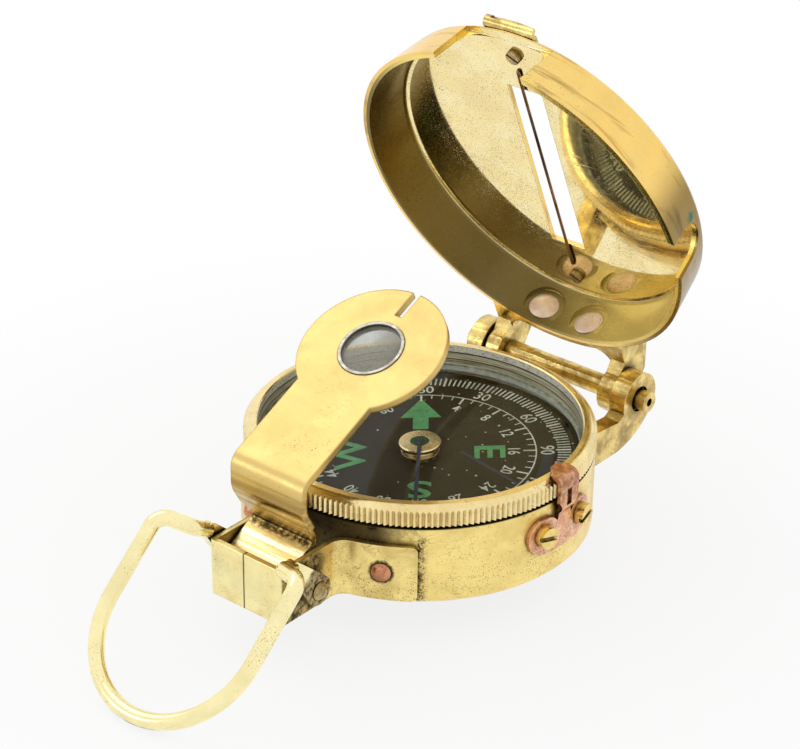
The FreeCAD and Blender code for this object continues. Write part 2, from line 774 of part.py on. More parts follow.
def lid_shell():
    outer = lid_outline()
    edge, low_r, flat_r = inner_floor_r()
    inner = [(0, lid_rim_z - 1), (inner_wall_r(-1), lid_rim_z - 1), (low_r, lid_inner - edge),
             (low_r - 0.3 * edge, lid_inner - 0.3 * edge), (flat_r, lid_inner), (0, lid_inner)]
    body = turned(outer).cut(turned(inner))
    body = body.cut(block((-notch_half, notch_half), (-lid_r - 1, -flat_r), (lid_rim_z - 1, lid_inner)))
    c = side_notch_y
    rise = side_notch_deep - side_notch_r
    slot = plate_yz([(c - side_notch_half, lid_rim_z - 1), (c + side_notch_half, lid_rim_z - 1),
                     (c + side_notch_r, lid_rim_z + rise), (c - side_notch_r, lid_rim_z + rise)],
                    lid_r * 0.6, lid_r + 2)
    slot = slot.fuse(cyl(side_notch_r, lid_r * 0.4 + 2, (lid_r * 0.6, c, lid_rim_z + rise), along_x))
    body = body.cut(slot)
    body = body.cut(block((-window_half, window_half), (window_front, window_rear),
                          (lid_inner - 1, lid_top + 1)))
    for side in (1, -1):
        start, out = rivet_line(side, 0)
        body = body.cut(cyl(seat_r, rivet_seat(), start, out))
        body = body.cut(cyl(lid_rivet_shank, lid_r + 3, start, out))
    for y, pin in wire_ends():
        body = body.cut(cyl(wire_r, 3, (0, y, lid_inner - 1)))
        body = body.cut(cyl(wire_shank_r, 3, (0, pin, lid_inner - 1)))
    return body.removeSplitter()


def rivet_seat():
    return inner_wall_r(lid_rivet_z) + seat_deep


def wire_ends():
    return ((wire_front, wire_front - wire_pin_gap), (wire_rear, wire_rear + wire_pin_gap))


def lid_rivets():
    rivets = []
    reach = lid_r + plate_t - (lid_r - lid_top_r) / lid_depth * lid_rivet_z - 0.2
    for side in (1, -1):
        base, out = rivet_line(side, rivet_seat())
        rivets.append(domed_rivet(lid_rivet_r, lid_rivet_h, lid_rivet_shank,
                                  reach - rivet_seat(), base, out * -1))
    return rivets


def gusset(side, low):
    """Fills the corner between the plate and an ear, with a round hollow."""
    r = gusset_r
    y = math.sqrt((lid_r + plate_t) ** 2 - (ear_in - r) ** 2) - 0.1
    x0, x1 = sorted((side * (ear_in - r), side * (ear_in + 0.5)))
    corner = block((x0, x1), (y - 1.5, y + r), (low, low + 0.55 * plate_h))
    return corner.cut(cyl(r, plate_h, (side * (ear_in - r), y + r, low)))


def lid_bracket():
    ear_out = lug_in - side_gap
    low, high = lid_rim_z + plate_z, lid_rim_z + plate_z + plate_h
    inside = turned(lid_outline())
    band = turned(lid_outline(plate_t)).cut(inside)
    body = band.common(block((-ear_out, ear_out), (0, 2 * lid_r), (low, high)))
    axis_z = hinge_z
    ear_points = [(lid_r * 0.85, low), (lid_r + 1.2 * plate_t, low), (hinge_y - 0.95 * lid_ear_r, axis_z),
                  (hinge_y, axis_z), (hinge_y + 0.95 * lid_ear_r, axis_z + 0.33 * lid_ear_r),
                  (hinge_y + 0.1, axis_z + 1.72 * lid_ear_r), (lid_r + plate_t - 0.4, high),
                  (lid_r * 0.85, high)]
    for side in (1, -1):
        x0, x1 = sorted((side * ear_in, side * ear_out))
        ear = plate_yz(ear_points, x0, x1).fuse(
            cyl(lid_ear_r, x1 - x0, (x0, hinge_y, hinge_z), along_x))
        body = body.fuse([ear.cut(inside), gusset(side, low).cut(inside)])
    body = body.cut(cyl(hinge_pin_r + run_fit, 2 * ear_out, (-ear_out, hinge_y, hinge_z), along_x))
    for side in (1, -1):
        start, out = rivet_line(side, 0)
        body = body.cut(cyl(lid_rivet_shank, lid_r + 3, start, out))
    return body.removeSplitter()


def hinge_sleeve():
    return tube(sleeve_r, hinge_pin_r + run_fit, 2 * ear_in, (-ear_in, hinge_y, hinge_z), along_x)


def sighting_wire():
    z = lid_inner - 1.5 * wire_r
    path = [Vector(0, wire_front, lid_top), Vector(0, wire_front, z),
            Vector(0, wire_rear, z), Vector(0, wire_rear, lid_top)]
    spine = Part.Wire(bent_edges(path, [1.5 * wire_r] * 2))
    circle = Part.Wire(Part.makeCircle(wire_r, path[0], up))
    return spine.makePipeShell([circle], True, False)


def wire_pins():
    pins = []
    for y, pin in wire_ends():
        head = cyl(wire_pin_r, wire_pin_h, (0, pin, lid_inner - wire_pin_h))
        slot = block((-wire_pin_r, wire_pin_r), (-0.2, 0.2),
                     (lid_inner - wire_pin_h, lid_inner - wire_pin_h / 2))
        slot.rotate(Vector(), up, 30)
        slot.translate(Vector(0, pin, 0))
        shank = cyl(wire_shank_r, lid_floor, (0, pin, lid_inner))
        pins.append(head.cut(slot).fuse(shank).removeSplitter())
    return pins


def lid_latch():
    """A clip rolled over the lid's front edge, pressed flat towards one end, with a tail on the lid."""
    x0, x1 = latch_x
    r = latch_roll_r
    y, z = -(lid_top_r - 0.2 * r), lid_top + 0.35 * r
    roll = cyl(r, x1 - x0, (x0, y, z), along_x)
    tail = block((x0, x1), (y, y + latch_reach), (lid_top, lid_top + latch_t))
    body = roll.fuse(tail).cut(turned(lid_outline()))
    body = body.cut(cyl(0.45 * r, x1 - x0, (x0, y, z + 0.1 * r), along_x))
    third = (x1 - x0) / 3
    body = body.cut(block((x0 + 0.3 * third, x0 + 0.9 * third), (y - 1.5 * r, y - 0.2 * r),
                          (z - 0.1 * r, z + 1.2 * r)))
    press = block((0, 2 * (x1 - x0)), (y - 2 * r, y + latch_reach + r), (0, 3 * r))
    press.rotate(Vector(), Vector(0, 1, 0), latch_press)
    press.translate(Vector(x0 + 1.2 * third, 0, z + 0.95 * r))
    return body.cut(press).removeSplitter()


save("case_body", case_body())
save("bezel_snap_wire", snap_wire_ring())
save("bezel_ring", bezel_ring())
save("bezel_glass", bezel_glass())
save("glass_ring", glass_ring())
save("compass_card", tipped(compass_card()))
save("card_hub", tipped(card_hub()))
save("jewel", tipped(jewel()))
save("magnet_bar", tipped(magnet_bar()))
save("pivot_post", pivot_post())
save("pivot_needle", pivot_needle())
save("front_bracket", front_bracket())
save("bracket_rivets", *bracket_rivets())
save("sight_arm", sight_arm())
save("lens_ring", lens_ring())
save("sight_lens", sight_lens())
save("arm_pin", arm_pin())
save("thumb_ring", thumb_ring())
save("ring_rivets", *ring_rivets())
save("detent_spring", detent_spring())
save("detent_screws", *detent_screws())
save("hinge_bracket", hinge_bracket())
save("hinge_pin", hinge_pin())
save("hinge_sleeve", opened(hinge_sleeve()))
save("lid_shell", opened(lid_shell()))
save("lid_bracket", opened(lid_bracket()))
save("lid_rivets", *[opened(r) for r in lid_rivets()])
save("sighting_wire", opened(sighting_wire()))
save("wire_pins", *[opened(p) for p in wire_pins()])
save("lid_latch", opened(lid_latch()))
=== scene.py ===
import math
import bmesh
import bpy
from mathutils import Matrix, Vector


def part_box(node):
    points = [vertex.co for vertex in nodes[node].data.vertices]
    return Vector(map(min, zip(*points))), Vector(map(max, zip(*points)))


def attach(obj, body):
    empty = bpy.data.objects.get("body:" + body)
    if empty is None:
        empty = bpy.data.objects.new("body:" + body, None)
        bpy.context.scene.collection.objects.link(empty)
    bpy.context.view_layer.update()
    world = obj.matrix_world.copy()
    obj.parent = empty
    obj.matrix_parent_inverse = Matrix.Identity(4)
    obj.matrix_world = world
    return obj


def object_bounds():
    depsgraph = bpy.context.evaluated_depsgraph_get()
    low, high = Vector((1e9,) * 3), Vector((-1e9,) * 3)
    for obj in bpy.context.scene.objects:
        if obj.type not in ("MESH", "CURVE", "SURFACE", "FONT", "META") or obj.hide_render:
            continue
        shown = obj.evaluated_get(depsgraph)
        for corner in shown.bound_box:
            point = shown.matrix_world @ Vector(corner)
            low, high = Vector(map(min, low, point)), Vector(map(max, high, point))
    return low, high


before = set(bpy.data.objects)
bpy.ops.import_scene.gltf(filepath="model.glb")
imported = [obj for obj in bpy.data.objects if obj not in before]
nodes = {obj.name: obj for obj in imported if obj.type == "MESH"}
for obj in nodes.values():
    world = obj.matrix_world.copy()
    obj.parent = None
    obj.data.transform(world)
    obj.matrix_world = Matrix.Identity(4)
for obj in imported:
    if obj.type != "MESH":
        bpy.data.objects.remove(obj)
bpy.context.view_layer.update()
scene = bpy.context.scene
mm = 0.001


# A small helper for building node trees: sockets are linked, anything else is set as a value.
class Graph:
    def __init__(self, tree):
        self.tree = tree

    def put(self, kind, inputs=None, **settings):
        node = self.tree.nodes.new(kind)
        for key, value in settings.items():
            setattr(node, key, value)
        for key, value in (inputs or {}).items():
            if isinstance(value, bpy.types.NodeSocket):
                self.tree.links.new(value, node.inputs[key])
            else:
                node.inputs[key].default_value = value
        return node

    def math(self, operation, a, b=0.0, c=0.0):
        return self.put("ShaderNodeMath", {0: a, 1: b, 2: c}, operation=operation).outputs[0]

    def plus(self, a, b):
        return self.math("ADD", a, b)

    def minus(self, a, b):
        return self.math("SUBTRACT", a, b)

    def times(self, a, b):
        return self.math("MULTIPLY", a, b)

    def larger(self, a, b):
        return self.math("MAXIMUM", a, b)

    def size(self, a):
        return self.math("ABSOLUTE", a)

    def vector(self, operation, a, b=(0, 0, 0)):
        node = self.put("ShaderNodeVectorMath", {0: a, 1: b}, operation=operation)
        return node.outputs["Value" if operation in ("DOT_PRODUCT", "LENGTH") else "Vector"]

    def fade(self, value, low, high, start=0.0, end=1.0):
        return self.put("ShaderNodeMapRange", {"Value": value, 1: low, 2: high, 3: start, 4: end},
                        interpolation_type="SMOOTHSTEP").outputs[0]

    def fadeOut(self, value, low, high):
        return self.fade(value, low, high, 1.0, 0.0)

    def tint(self, factor, a, b):
        return self.put("ShaderNodeMix", {0: factor, 6: a, 7: b}, data_type="RGBA").outputs[2]

    def blend(self, factor, a, b):
        return self.put("ShaderNodeMix", {0: factor, 2: a, 3: b}, data_type="FLOAT").outputs[0]

    def noise(self, vector, scale, detail=2.0, rough=0.5, warp=0.0):
        return self.put("ShaderNodeTexNoise", {"Vector": vector, "Scale": scale, "Detail": detail,
                                               "Roughness": rough, "Distortion": warp}).outputs[0]

    def place(self, vector, scale=(1, 1, 1), turn=(0, 0, 0), shift=(0, 0, 0)):
        return self.put("ShaderNodeMapping", {"Vector": vector, "Scale": scale, "Rotation": turn,
                                              "Location": shift}).outputs[0]

    def split(self, vector):
        node = self.put("ShaderNodeSeparateXYZ", {0: vector})
        return node.outputs[0], node.outputs[1], node.outputs[2]

    def join(self, x=0.0, y=0.0, z=0.0):
        return self.put("ShaderNodeCombineXYZ", {0: x, 1: y, 2: z}).outputs[0]

    def across(self, a, b):
        return self.vector("LENGTH", self.join(a, b))

    def millimetres(self):
        return self.place(self.put("ShaderNodeTexCoord").outputs["Object"], (1000, 1000, 1000))

    # rays that should meet the studio's white: from the camera, and mirrored in metal or bent by glass
    def whiteRays(self):
        path = self.put("ShaderNodeLightPath").outputs
        mirrored = self.larger(path["Is Glossy Ray"], path["Is Transmission Ray"])
        return path["Is Camera Ray"], self.larger(path["Is Camera Ray"], mirrored)


def newMaterial(name):
    material = bpy.data.materials.new(name)
    material.use_nodes = True
    material.node_tree.nodes.clear()
    return material, Graph(material.node_tree)


def finishMaterial(graph, shader):
    graph.put("ShaderNodeOutputMaterial", {"Surface": shader})


def dress(material, *names):
    for name in names:
        for slot in nodes[name].material_slots:
            slot.material = material


def colour(r, g, b):
    return (r, g, b, 1.0)


# What every brass piece starts from. Lengths are millimetres; grain is the direction of polishing.
brass = {
    "bright": colour(0.93, 0.71, 0.26),
    "deep": colour(0.66, 0.46, 0.14),
    "tarnish": colour(0.13, 0.080, 0.024),
    "stain": colour(0.022, 0.013, 0.005),
    "metal": 1.0,
    "roughness": 0.16,
    "cloudSize": 7.0,
    "cloudDepth": 0.5,
    "spotSize": 0.22,
    "spots": 0.35,
    "grain": (1.0, 1.0, 0.06),
    "grainSize": 0.25,
    "grainDepth": 0.12,
    "scratches": 0.45,
    "dirt": 0.95,
    "dirtReach": 1.5,
    "edge": 0.16,
    "edgeShine": 0.6,
    "dents": 0.05,
    "relief": 1.0,
}

# How wear shows on all of them. A Fade or Patch here and below holds the two levels between which a
# mark comes in, and a Patch also its share at each; a Tone is the share of a tint, a Rough what it adds.
wear = {
    "cloudFade": (0.32, 0.70),
    "cloudRough": 0.10,
    "spotFade": ((0.86, 0.10), (0.92, 0.08)),  # each level, and how far it drops as spots goes to 1
    "spotField": 0.11,
    "spotGather": 0.35,
    "spotTone": 0.9,
    "spotDeep": -0.02,
    "lines": (  # turn, length, spacing, width and seed of each set of hairlines
        ((0.3, 0.2, 0.5), 16, 1.3, 0.018, 3.1),
        ((1.1, 0.7, 2.1), 11, 1.1, 0.014, 8.4)),
    "lineField": 0.16,
    "lineFade": (0.5, 0.62),
    "lineTone": 0.55,
    "lineDeep": -0.03,
    "grainShow": 4.0,
    "grainRough": 0.06,
    "grainHigh": 0.05,
    "rimFade": (0.004, 0.12),
    "dirtField": 0.7,
    "dirtPatch": (0.3, 0.6, 0.35, 1.0),
    "dirtFade": (0.40, 0.94),
    "grimeFade": (0.32, 0.72),
    "dirtRough": 0.30,
    "dentField": 0.35,
}


def hairlines(graph, point, turn, length, spacing, width, seed):
    # thin long lines where a stretched noise crosses its middle value, broken up by a second noise
    stretched = graph.place(point, (1 / length, 1 / spacing, 1 / spacing), turn,
                            (seed, seed * 2.7, seed * 5.1))
    line = graph.fadeOut(graph.size(graph.minus(graph.noise(stretched, 1.0, detail=0.0), 0.5)), 0.0, width)
    where = graph.noise(graph.place(point, shift=(seed * 3, 0, seed)), wear["lineField"], detail=2.0)
    return graph.times(line, graph.fade(where, *wear["lineFade"]))


# extra adds a piece's own marks: it takes and returns tone and roughness, and returns how metallic it is
def brassMaterial(name, extra=None, **changes):
    look = {**brass, **changes}
    material, graph = newMaterial(name)
    point = graph.millimetres()
    cloud = graph.noise(point, 1 / look["cloudSize"], detail=5.0, rough=0.6, warp=0.4)
    cloud = graph.fade(cloud, *wear["cloudFade"])
    grain = graph.place(point, tuple(g / look["grainSize"] for g in look["grain"]))
    grain = graph.noise(grain, 1.0, detail=4.0, rough=0.6)
    gather = graph.times(graph.noise(point, wear["spotField"], detail=3.0, rough=0.6), wear["spotGather"])
    spot = graph.plus(graph.noise(point, 1 / look["spotSize"], detail=3.0, rough=0.65), gather)
    spot = graph.fade(spot, *(level - drop * look["spots"] for level, drop in wear["spotFade"]))
    lines = graph.larger(*(hairlines(graph, point, *line) for line in wear["lines"]))
    lines = graph.times(lines, look["scratches"])
    soft = graph.put("ShaderNodeBevel", {"Radius": look["edge"] * mm}, samples=6).outputs[0]
    flat = graph.put("ShaderNodeNewGeometry").outputs["Normal"]
    rim = graph.fade(graph.minus(1.0, graph.vector("DOT_PRODUCT", soft, flat)), *wear["rimFade"])
    hollow = graph.put("ShaderNodeAmbientOcclusion", {"Distance": look["dirtReach"] * mm}, samples=6,
                       only_local=False).outputs["AO"]
    patchy = graph.fade(graph.noise(point, wear["dirtField"], detail=4.0, rough=0.6), *wear["dirtPatch"])
    dirt = graph.times(graph.fade(hollow, *wear["dirtFade"], look["dirt"], 0.0), patchy)
    grime = graph.times(graph.fade(hollow, *wear["grimeFade"], look["dirt"], 0.0), patchy)
    uneven = graph.size(graph.minus(grain, 0.5))
    tone = graph.tint(graph.times(cloud, look["cloudDepth"]), look["bright"], look["deep"])
    tone = graph.tint(graph.times(uneven, look["grainDepth"] * wear["grainShow"]), tone, look["deep"])
    tone = graph.tint(dirt, tone, look["tarnish"])
    tone = graph.tint(grime, tone, look["stain"])
    tone = graph.tint(graph.times(spot, wear["spotTone"]), tone, look["stain"])
    tone = graph.tint(graph.times(lines, wear["lineTone"]), tone, look["tarnish"])
    tone = graph.tint(graph.times(rim, look["edgeShine"]), tone, look["bright"])
    rough = graph.plus(look["roughness"], graph.times(cloud, wear["cloudRough"]))
    rough = graph.plus(rough, graph.times(grain, wear["grainRough"]))
    rough = graph.plus(rough, graph.times(graph.larger(dirt, spot), wear["dirtRough"]))
    metal = look["metal"]
    if extra:
        tone, rough, metal = extra(graph, point, tone, rough)
    height = graph.times(grain, look["grainDepth"] * wear["grainHigh"])
    height = graph.plus(height, graph.times(lines, wear["lineDeep"]))
    height = graph.plus(height, graph.times(spot, wear["spotDeep"]))
    dents = graph.noise(point, wear["dentField"], detail=2.0)
    height = graph.plus(height, graph.times(dents, look["dents"]))
    bump = graph.put("ShaderNodeBump", {"Height": height, "Distance": mm, "Strength": look["relief"],
                                        "Normal": soft})
    shader = graph.put("ShaderNodeBsdfPrincipled", {"Base Color": tone, "Roughness": rough,
                                                    "Metallic": metal, "Normal": bump.outputs[0]})
    finishMaterial(graph, shader.outputs[0])
    return material


# the case: grime at the strap's ends and under the bezel, dark in the strap's shade, bright in the open
# strapEnd, bandWidth, pastEnd and shade are degrees from the front, bandEdge and bandFrom radians
caseLook = {"innerR": 26.0, "innerRough": 0.4, "strapEnd": 39.0, "bandEdge": (-0.01, 0.0),
            "bandFrom": 0.004, "bandWidth": 3.84, "bandTop": 10.9, "bandFade": 0.8, "bandTone": 0.9,
            "crumbFade": (0.92, 1.08), "pastEnd": 3.0, "pastPatch": (0.40, 0.62, 0.12, 0.8),
            "pastTone": 0.6, "shadeFrom": 25.0, "shadeTo": 38.0, "shadePatch": (0.25, 0.62, 1.0, 0.86),
            "stainRough": 0.25, "mouthFade": (12.75, 13.0)}


def caseDetail(graph, point, tone, rough):
    look = caseLook
    end, width, past, shadeFrom, shadeTo = (
        math.radians(look[k]) for k in ("strapEnd", "bandWidth", "pastEnd", "shadeFrom", "shadeTo"))
    x, y, z = graph.split(point)
    angle = graph.size(graph.math("ARCTAN2", x, graph.times(y, -1.0)))
    off = graph.minus(angle, end)
    blotch = graph.noise(point, 0.9, detail=5.0, rough=0.72)
    fine = graph.noise(point, 3.2, detail=3.0, rough=0.7)
    band = graph.times(graph.fade(off, *look["bandEdge"]), graph.fadeOut(off, look["bandFrom"], width))
    band = graph.times(band, graph.fadeOut(z, look["bandTop"], look["bandTop"] + look["bandFade"]))
    band = graph.times(band, graph.fade(graph.plus(blotch, fine), *look["crumbFade"]))
    above = graph.times(graph.fade(z, look["bandTop"] - look["bandFade"], look["bandTop"]),
                        graph.fadeOut(angle, end, end + past))
    above = graph.times(above, graph.fade(blotch, *look["pastPatch"]))
    shade = graph.times(graph.fadeOut(angle, shadeFrom, shadeTo), graph.fade(blotch, *look["shadePatch"]))
    mouth = graph.fade(z, *look["mouthFade"])
    inside = graph.math("LESS_THAN", graph.across(x, y), look["innerR"])
    tone = graph.tint(graph.times(above, look["pastTone"]), tone, brass["tarnish"])
    tone = graph.tint(shade, tone, brass["stain"])
    tone = graph.tint(inside, tone, brass["tarnish"])
    tone = graph.tint(graph.larger(graph.times(band, look["bandTone"]), mouth), tone, brass["stain"])
    rough = graph.plus(rough, graph.times(inside, look["innerRough"]))
    return tone, graph.plus(rough, graph.times(graph.larger(band, shade), look["stainRough"])), 1.0


# the strap: painted highlight as its pale front, one scribed line, crust, tarnish and painted shade on the
# box's sides, black round the rivets
strapLook = {"pale": colour(1.0, 0.95, 0.55), "frontFade": (-39.9, -39.6), "frontHighlightTone": 0.6,
             "frontHighlightPatch": (0.1, 0.6),
             "scribeX": -0.4, "scribeHalf": 0.17, "scribeFade": (-39.0, -38.7), "scribeTone": 0.9,
             "sideX": (6.9, 7.15), "sideY": (-33.0, -29.5), "sideTarnishAndShadePatch": (0.3, 0.6, 0.35, 0.8),
             "sideRough": 0.2, "crustFade": (0.46, 0.56), "crustTone": 0.75,
             "innerX": (6.32, 6.5), "innerY": (-39.0, -38.9), "innerTone": 0.8,
             "rivetAt": 28.0, "rivetR": 28.5, "rivetZ": 5.8, "haloFade": (2.25, 2.75), "haloTone": 0.92,
             "ragged": 1.1}


def strapDetail(graph, point, tone, rough):
    look = strapLook
    x, y, z = graph.split(point)
    aside = graph.size(x)
    # face is a painted highlight: the strap's front face tinted pale, in patches
    face = graph.times(graph.fade(y, *look["frontFade"], look["frontHighlightTone"], 0.0),
                       graph.fade(graph.noise(point, 0.3, detail=3.0), *look["frontHighlightPatch"]))
    line = graph.fadeOut(graph.size(graph.minus(x, look["scribeX"])),
                         look["scribeHalf"] * 0.5, look["scribeHalf"])
    line = graph.times(line, graph.fadeOut(y, *look["scribeFade"]))
    # side darkens the box's sides: partly tarnish, partly painted shade
    side = graph.times(graph.fade(aside, *look["sideX"]), graph.fadeOut(y, *look["sideY"]))
    blotch = graph.noise(point, 0.55, detail=5.0, rough=0.7)
    crust = graph.times(side, graph.fade(blotch, *look["crustFade"]))
    side = graph.times(side, graph.fade(blotch, *look["sideTarnishAndShadePatch"]))
    inside = graph.times(graph.fadeOut(aside, *look["innerX"]), graph.fade(y, *look["innerY"]))
    turn = math.radians(look["rivetAt"])
    seat = (look["rivetR"] * math.sin(turn), -look["rivetR"] * math.cos(turn), look["rivetZ"])
    away = graph.vector("LENGTH", graph.vector("SUBTRACT", graph.join(aside, y, z), seat))
    away = graph.plus(away, graph.times(graph.noise(point, 2.2, detail=4.0, rough=0.7), look["ragged"]))
    halo = graph.fadeOut(away, *look["haloFade"])
    # painted highlight: the pale front
    tone = graph.tint(face, tone, look["pale"])
    # tarnish and painted shade on the box's sides
    tone = graph.tint(side, tone, brass["tarnish"])
    tone = graph.tint(graph.times(crust, look["crustTone"]), tone, brass["stain"])
    tone = graph.tint(graph.times(inside, look["innerTone"]), tone, brass["tarnish"])
    tone = graph.tint(graph.times(line, look["scribeTone"]), tone, brass["stain"])
    tone = graph.tint(graph.times(halo, look["haloTone"]), tone, brass["stain"])
    return tone, graph.plus(rough, graph.times(side, look["sideRough"])), 1.0


# the thumb ring: dull and dirty at its ears, bright along its wire
earLook = {"olive": colour(0.30, 0.21, 0.08), "reach": (4.6, 5.8), "ragged": 2.0, "oliveTone": 0.85,
           "stainFade": (0.42, 0.62), "stainTone": 0.9, "rough": 0.15}
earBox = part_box("ring_rivets")
earY, earZ = ((earBox[0][k] + earBox[1][k]) / 2 / mm for k in (1, 2))


def ringDetail(graph, point, tone, rough):
    look = earLook
    y, z = graph.split(point)[1:]
    away = graph.across(graph.minus(y, earY), graph.minus(z, earZ))
    away = graph.plus(away, graph.times(graph.noise(point, 0.6, detail=4.0), look["ragged"]))
    ear = graph.fadeOut(away, *look["reach"])
    stain = graph.times(ear, graph.fade(graph.noise(point, 1.1, detail=5.0, rough=0.7), *look["stainFade"]))
    tone = graph.tint(graph.times(ear, look["oliveTone"]), tone, look["olive"])
    tone = graph.tint(graph.times(stain, look["stainTone"]), tone, brass["stain"])
    return tone, graph.plus(rough, graph.times(ear, look["rough"])), 1.0


# the arm: brushed plate, painted shade in bands on the upright leaf, grime in the groove, and painted
# highlight streaks on the polished roll below it
armLook = {"bend": (19.6, 20.3), "leafFrom": (10.8, 11.8), "leafPatch": (0.35, 0.65, 0.25, 0.85),
           "leaf": colour(0.34, 0.22, 0.07), "polish": 0.14, "grooveZ": 11.4, "grooveFade": (0.35, 1.3),
           "grooveY": (-30.0, -29.0), "grooveTone": 0.9, "crumbFade": (0.42, 0.56),
           "rollZ": (10.2, 10.8), "highlightStreakFade": (0.40, 0.60), "rollHighlight": colour(1.0, 0.92, 0.58),
           "rollShadeStreak": colour(0.56, 0.40, 0.14)}


def armDetail(graph, point, tone, rough):
    look = armLook
    y, z = graph.split(point)[1:]
    # painted shade: the upright leaf darkened in bands along the bend
    leaf = graph.times(graph.fadeOut(z, *look["bend"]), graph.fade(z, *look["leafFrom"]))
    wave = graph.noise(graph.place(point, (0.05, 1.0, 1.6)), 0.8, detail=3.0)
    leaf = graph.times(leaf, graph.fade(wave, *look["leafPatch"]))
    groove = graph.fadeOut(graph.size(graph.minus(z, look["grooveZ"])), *look["grooveFade"])
    crumbs = graph.fade(graph.noise(point, 1.3, detail=5.0, rough=0.75), *look["crumbFade"])
    groove = graph.times(groove, crumbs)
    groove = graph.times(groove, graph.fadeOut(y, *look["grooveY"]))
    # the roll below the groove: painted highlight and painted shade in streaks along it
    roll = graph.fadeOut(z, *look["rollZ"])
    highlightStreaks = graph.noise(graph.place(point, (0.03, 0.8, 0.8)), 1.0, detail=2.0, rough=0.5)
    highlightStreaks = graph.fade(highlightStreaks, *look["highlightStreakFade"])
    tone = graph.tint(leaf, tone, look["leaf"])
    tone = graph.tint(graph.times(groove, look["grooveTone"]), tone, brass["stain"])
    tone = graph.tint(graph.times(roll, highlightStreaks), tone, look["rollHighlight"])
    tone = graph.tint(graph.times(roll, graph.minus(0.5, highlightStreaks)), tone, look["rollShadeStreak"])
    return tone, graph.minus(rough, graph.fade(z, *look["bend"], look["polish"], 0.0)), 1.0


# the bezel: wrinkled silvery band inside its lip, over a duller band down to the glass
bezelLook = {"innerR": 25.8, "lip": 16.55, "step": 15.35, "stepFade": 0.05, "glass": 14.12,
             "silver": colour(1.0, 0.98, 0.84), "crease": colour(0.22, 0.19, 0.11),
             "dull": colour(0.82, 0.76, 0.55), "streak": colour(0.36, 0.31, 0.18),
             "shade": colour(0.04, 0.03, 0.016), "creaseFade": (0.36, 0.48), "streakFade": (0.35, 0.6),
             "stepLine": (0.05, 0.16), "glassLine": (0.03, 0.12), "innerRough": 0.12, "innerDull": 0.7}


def bezelDetail(graph, point, tone, rough):
    look = bezelLook
    x, y, z = graph.split(point)
    inner = graph.times(graph.math("LESS_THAN", graph.across(x, y), look["innerR"]),
                        graph.math("LESS_THAN", z, look["lip"]))
    crumple = graph.noise(graph.place(point, (0.9, 0.9, 3.0)), 1.6, detail=4.0, rough=0.7, warp=1.2)
    silver = graph.tint(graph.fade(crumple, *look["creaseFade"]), look["crease"], look["silver"])
    streak = graph.noise(graph.place(point, (0.15, 0.15, 6.0)), 1.0, detail=3.0, rough=0.6)
    dull = graph.tint(graph.fade(streak, *look["streakFade"]), look["streak"], look["dull"])
    band = graph.tint(graph.fade(z, look["step"] - look["stepFade"], look["step"] + look["stepFade"]),
                      dull, silver)
    line = graph.larger(graph.fadeOut(graph.size(graph.minus(z, look["step"])), *look["stepLine"]),
                        graph.fadeOut(graph.size(graph.minus(z, look["glass"])), *look["glassLine"]))
    tone = graph.tint(inner, tone, graph.tint(line, band, look["shade"]))
    rough = graph.plus(rough, graph.times(inner, look["innerRough"]))
    return tone, rough, graph.minus(1.0, graph.times(inner, look["innerDull"]))


# the lid: mirror floor with fine dark specks, olive and yellow wall with painted shade darkening it to the
# left, golden outside with umber streaks that are partly painted shade, painted shade and green by the side
# notch. Places are those of the closed lid.
lidLook = {"hingeY": 36.5, "hingeZ": 10.8, "open": 66.2, "midR": 29.6, "slope": 0.145, "rimZ": 12.6,
           "innerZ": 20.77, "innerPast": 0.15, "floorFade": (-0.5, -0.1),
           "golden": colour(0.99, 0.66, 0.19), "goldenPatch": (0.35, 0.65, 0.45, 0.95),
           "umber": colour(0.30, 0.17, 0.045), "umberPatch": (0.54, 0.68, 0.0, 0.62),
           "dark": colour(0.06, 0.034, 0.01), "notchY": (-14.0, -6.0), "notchX": (10.0, 22.0),
           "notchTone": 0.7, "olive": colour(0.42, 0.29, 0.09), "olivePatch": (0.3, 0.7, 0.0, 0.3),
           "yellow": colour(1.0, 0.78, 0.22), "yellowTone": 0.9, "leftSlant": -0.45,
           "leftFade": (-20.0, 2.0), "leftShadeTone": 0.85, "bloomPatch": (0.0, 24.0, 0.0, 0.6),
           "pale": colour(0.96, 0.84, 0.48), "palePatch": (0.3, 0.6, 0.95, 0.5),
           "fleckFade": (0.625, 0.69), "fleckTone": 0.8, "fleckRough": 0.2,
           "mirrorPatch": (0.35, 0.7, 0.03, 0.075), "green": colour(0.03, 0.22, 0.13),
           "mossAt": (29.8, -2.9, 18.8), "mossFade": (1.5, 2.2), "mossRagged": 1.6, "mossRough": 0.4}


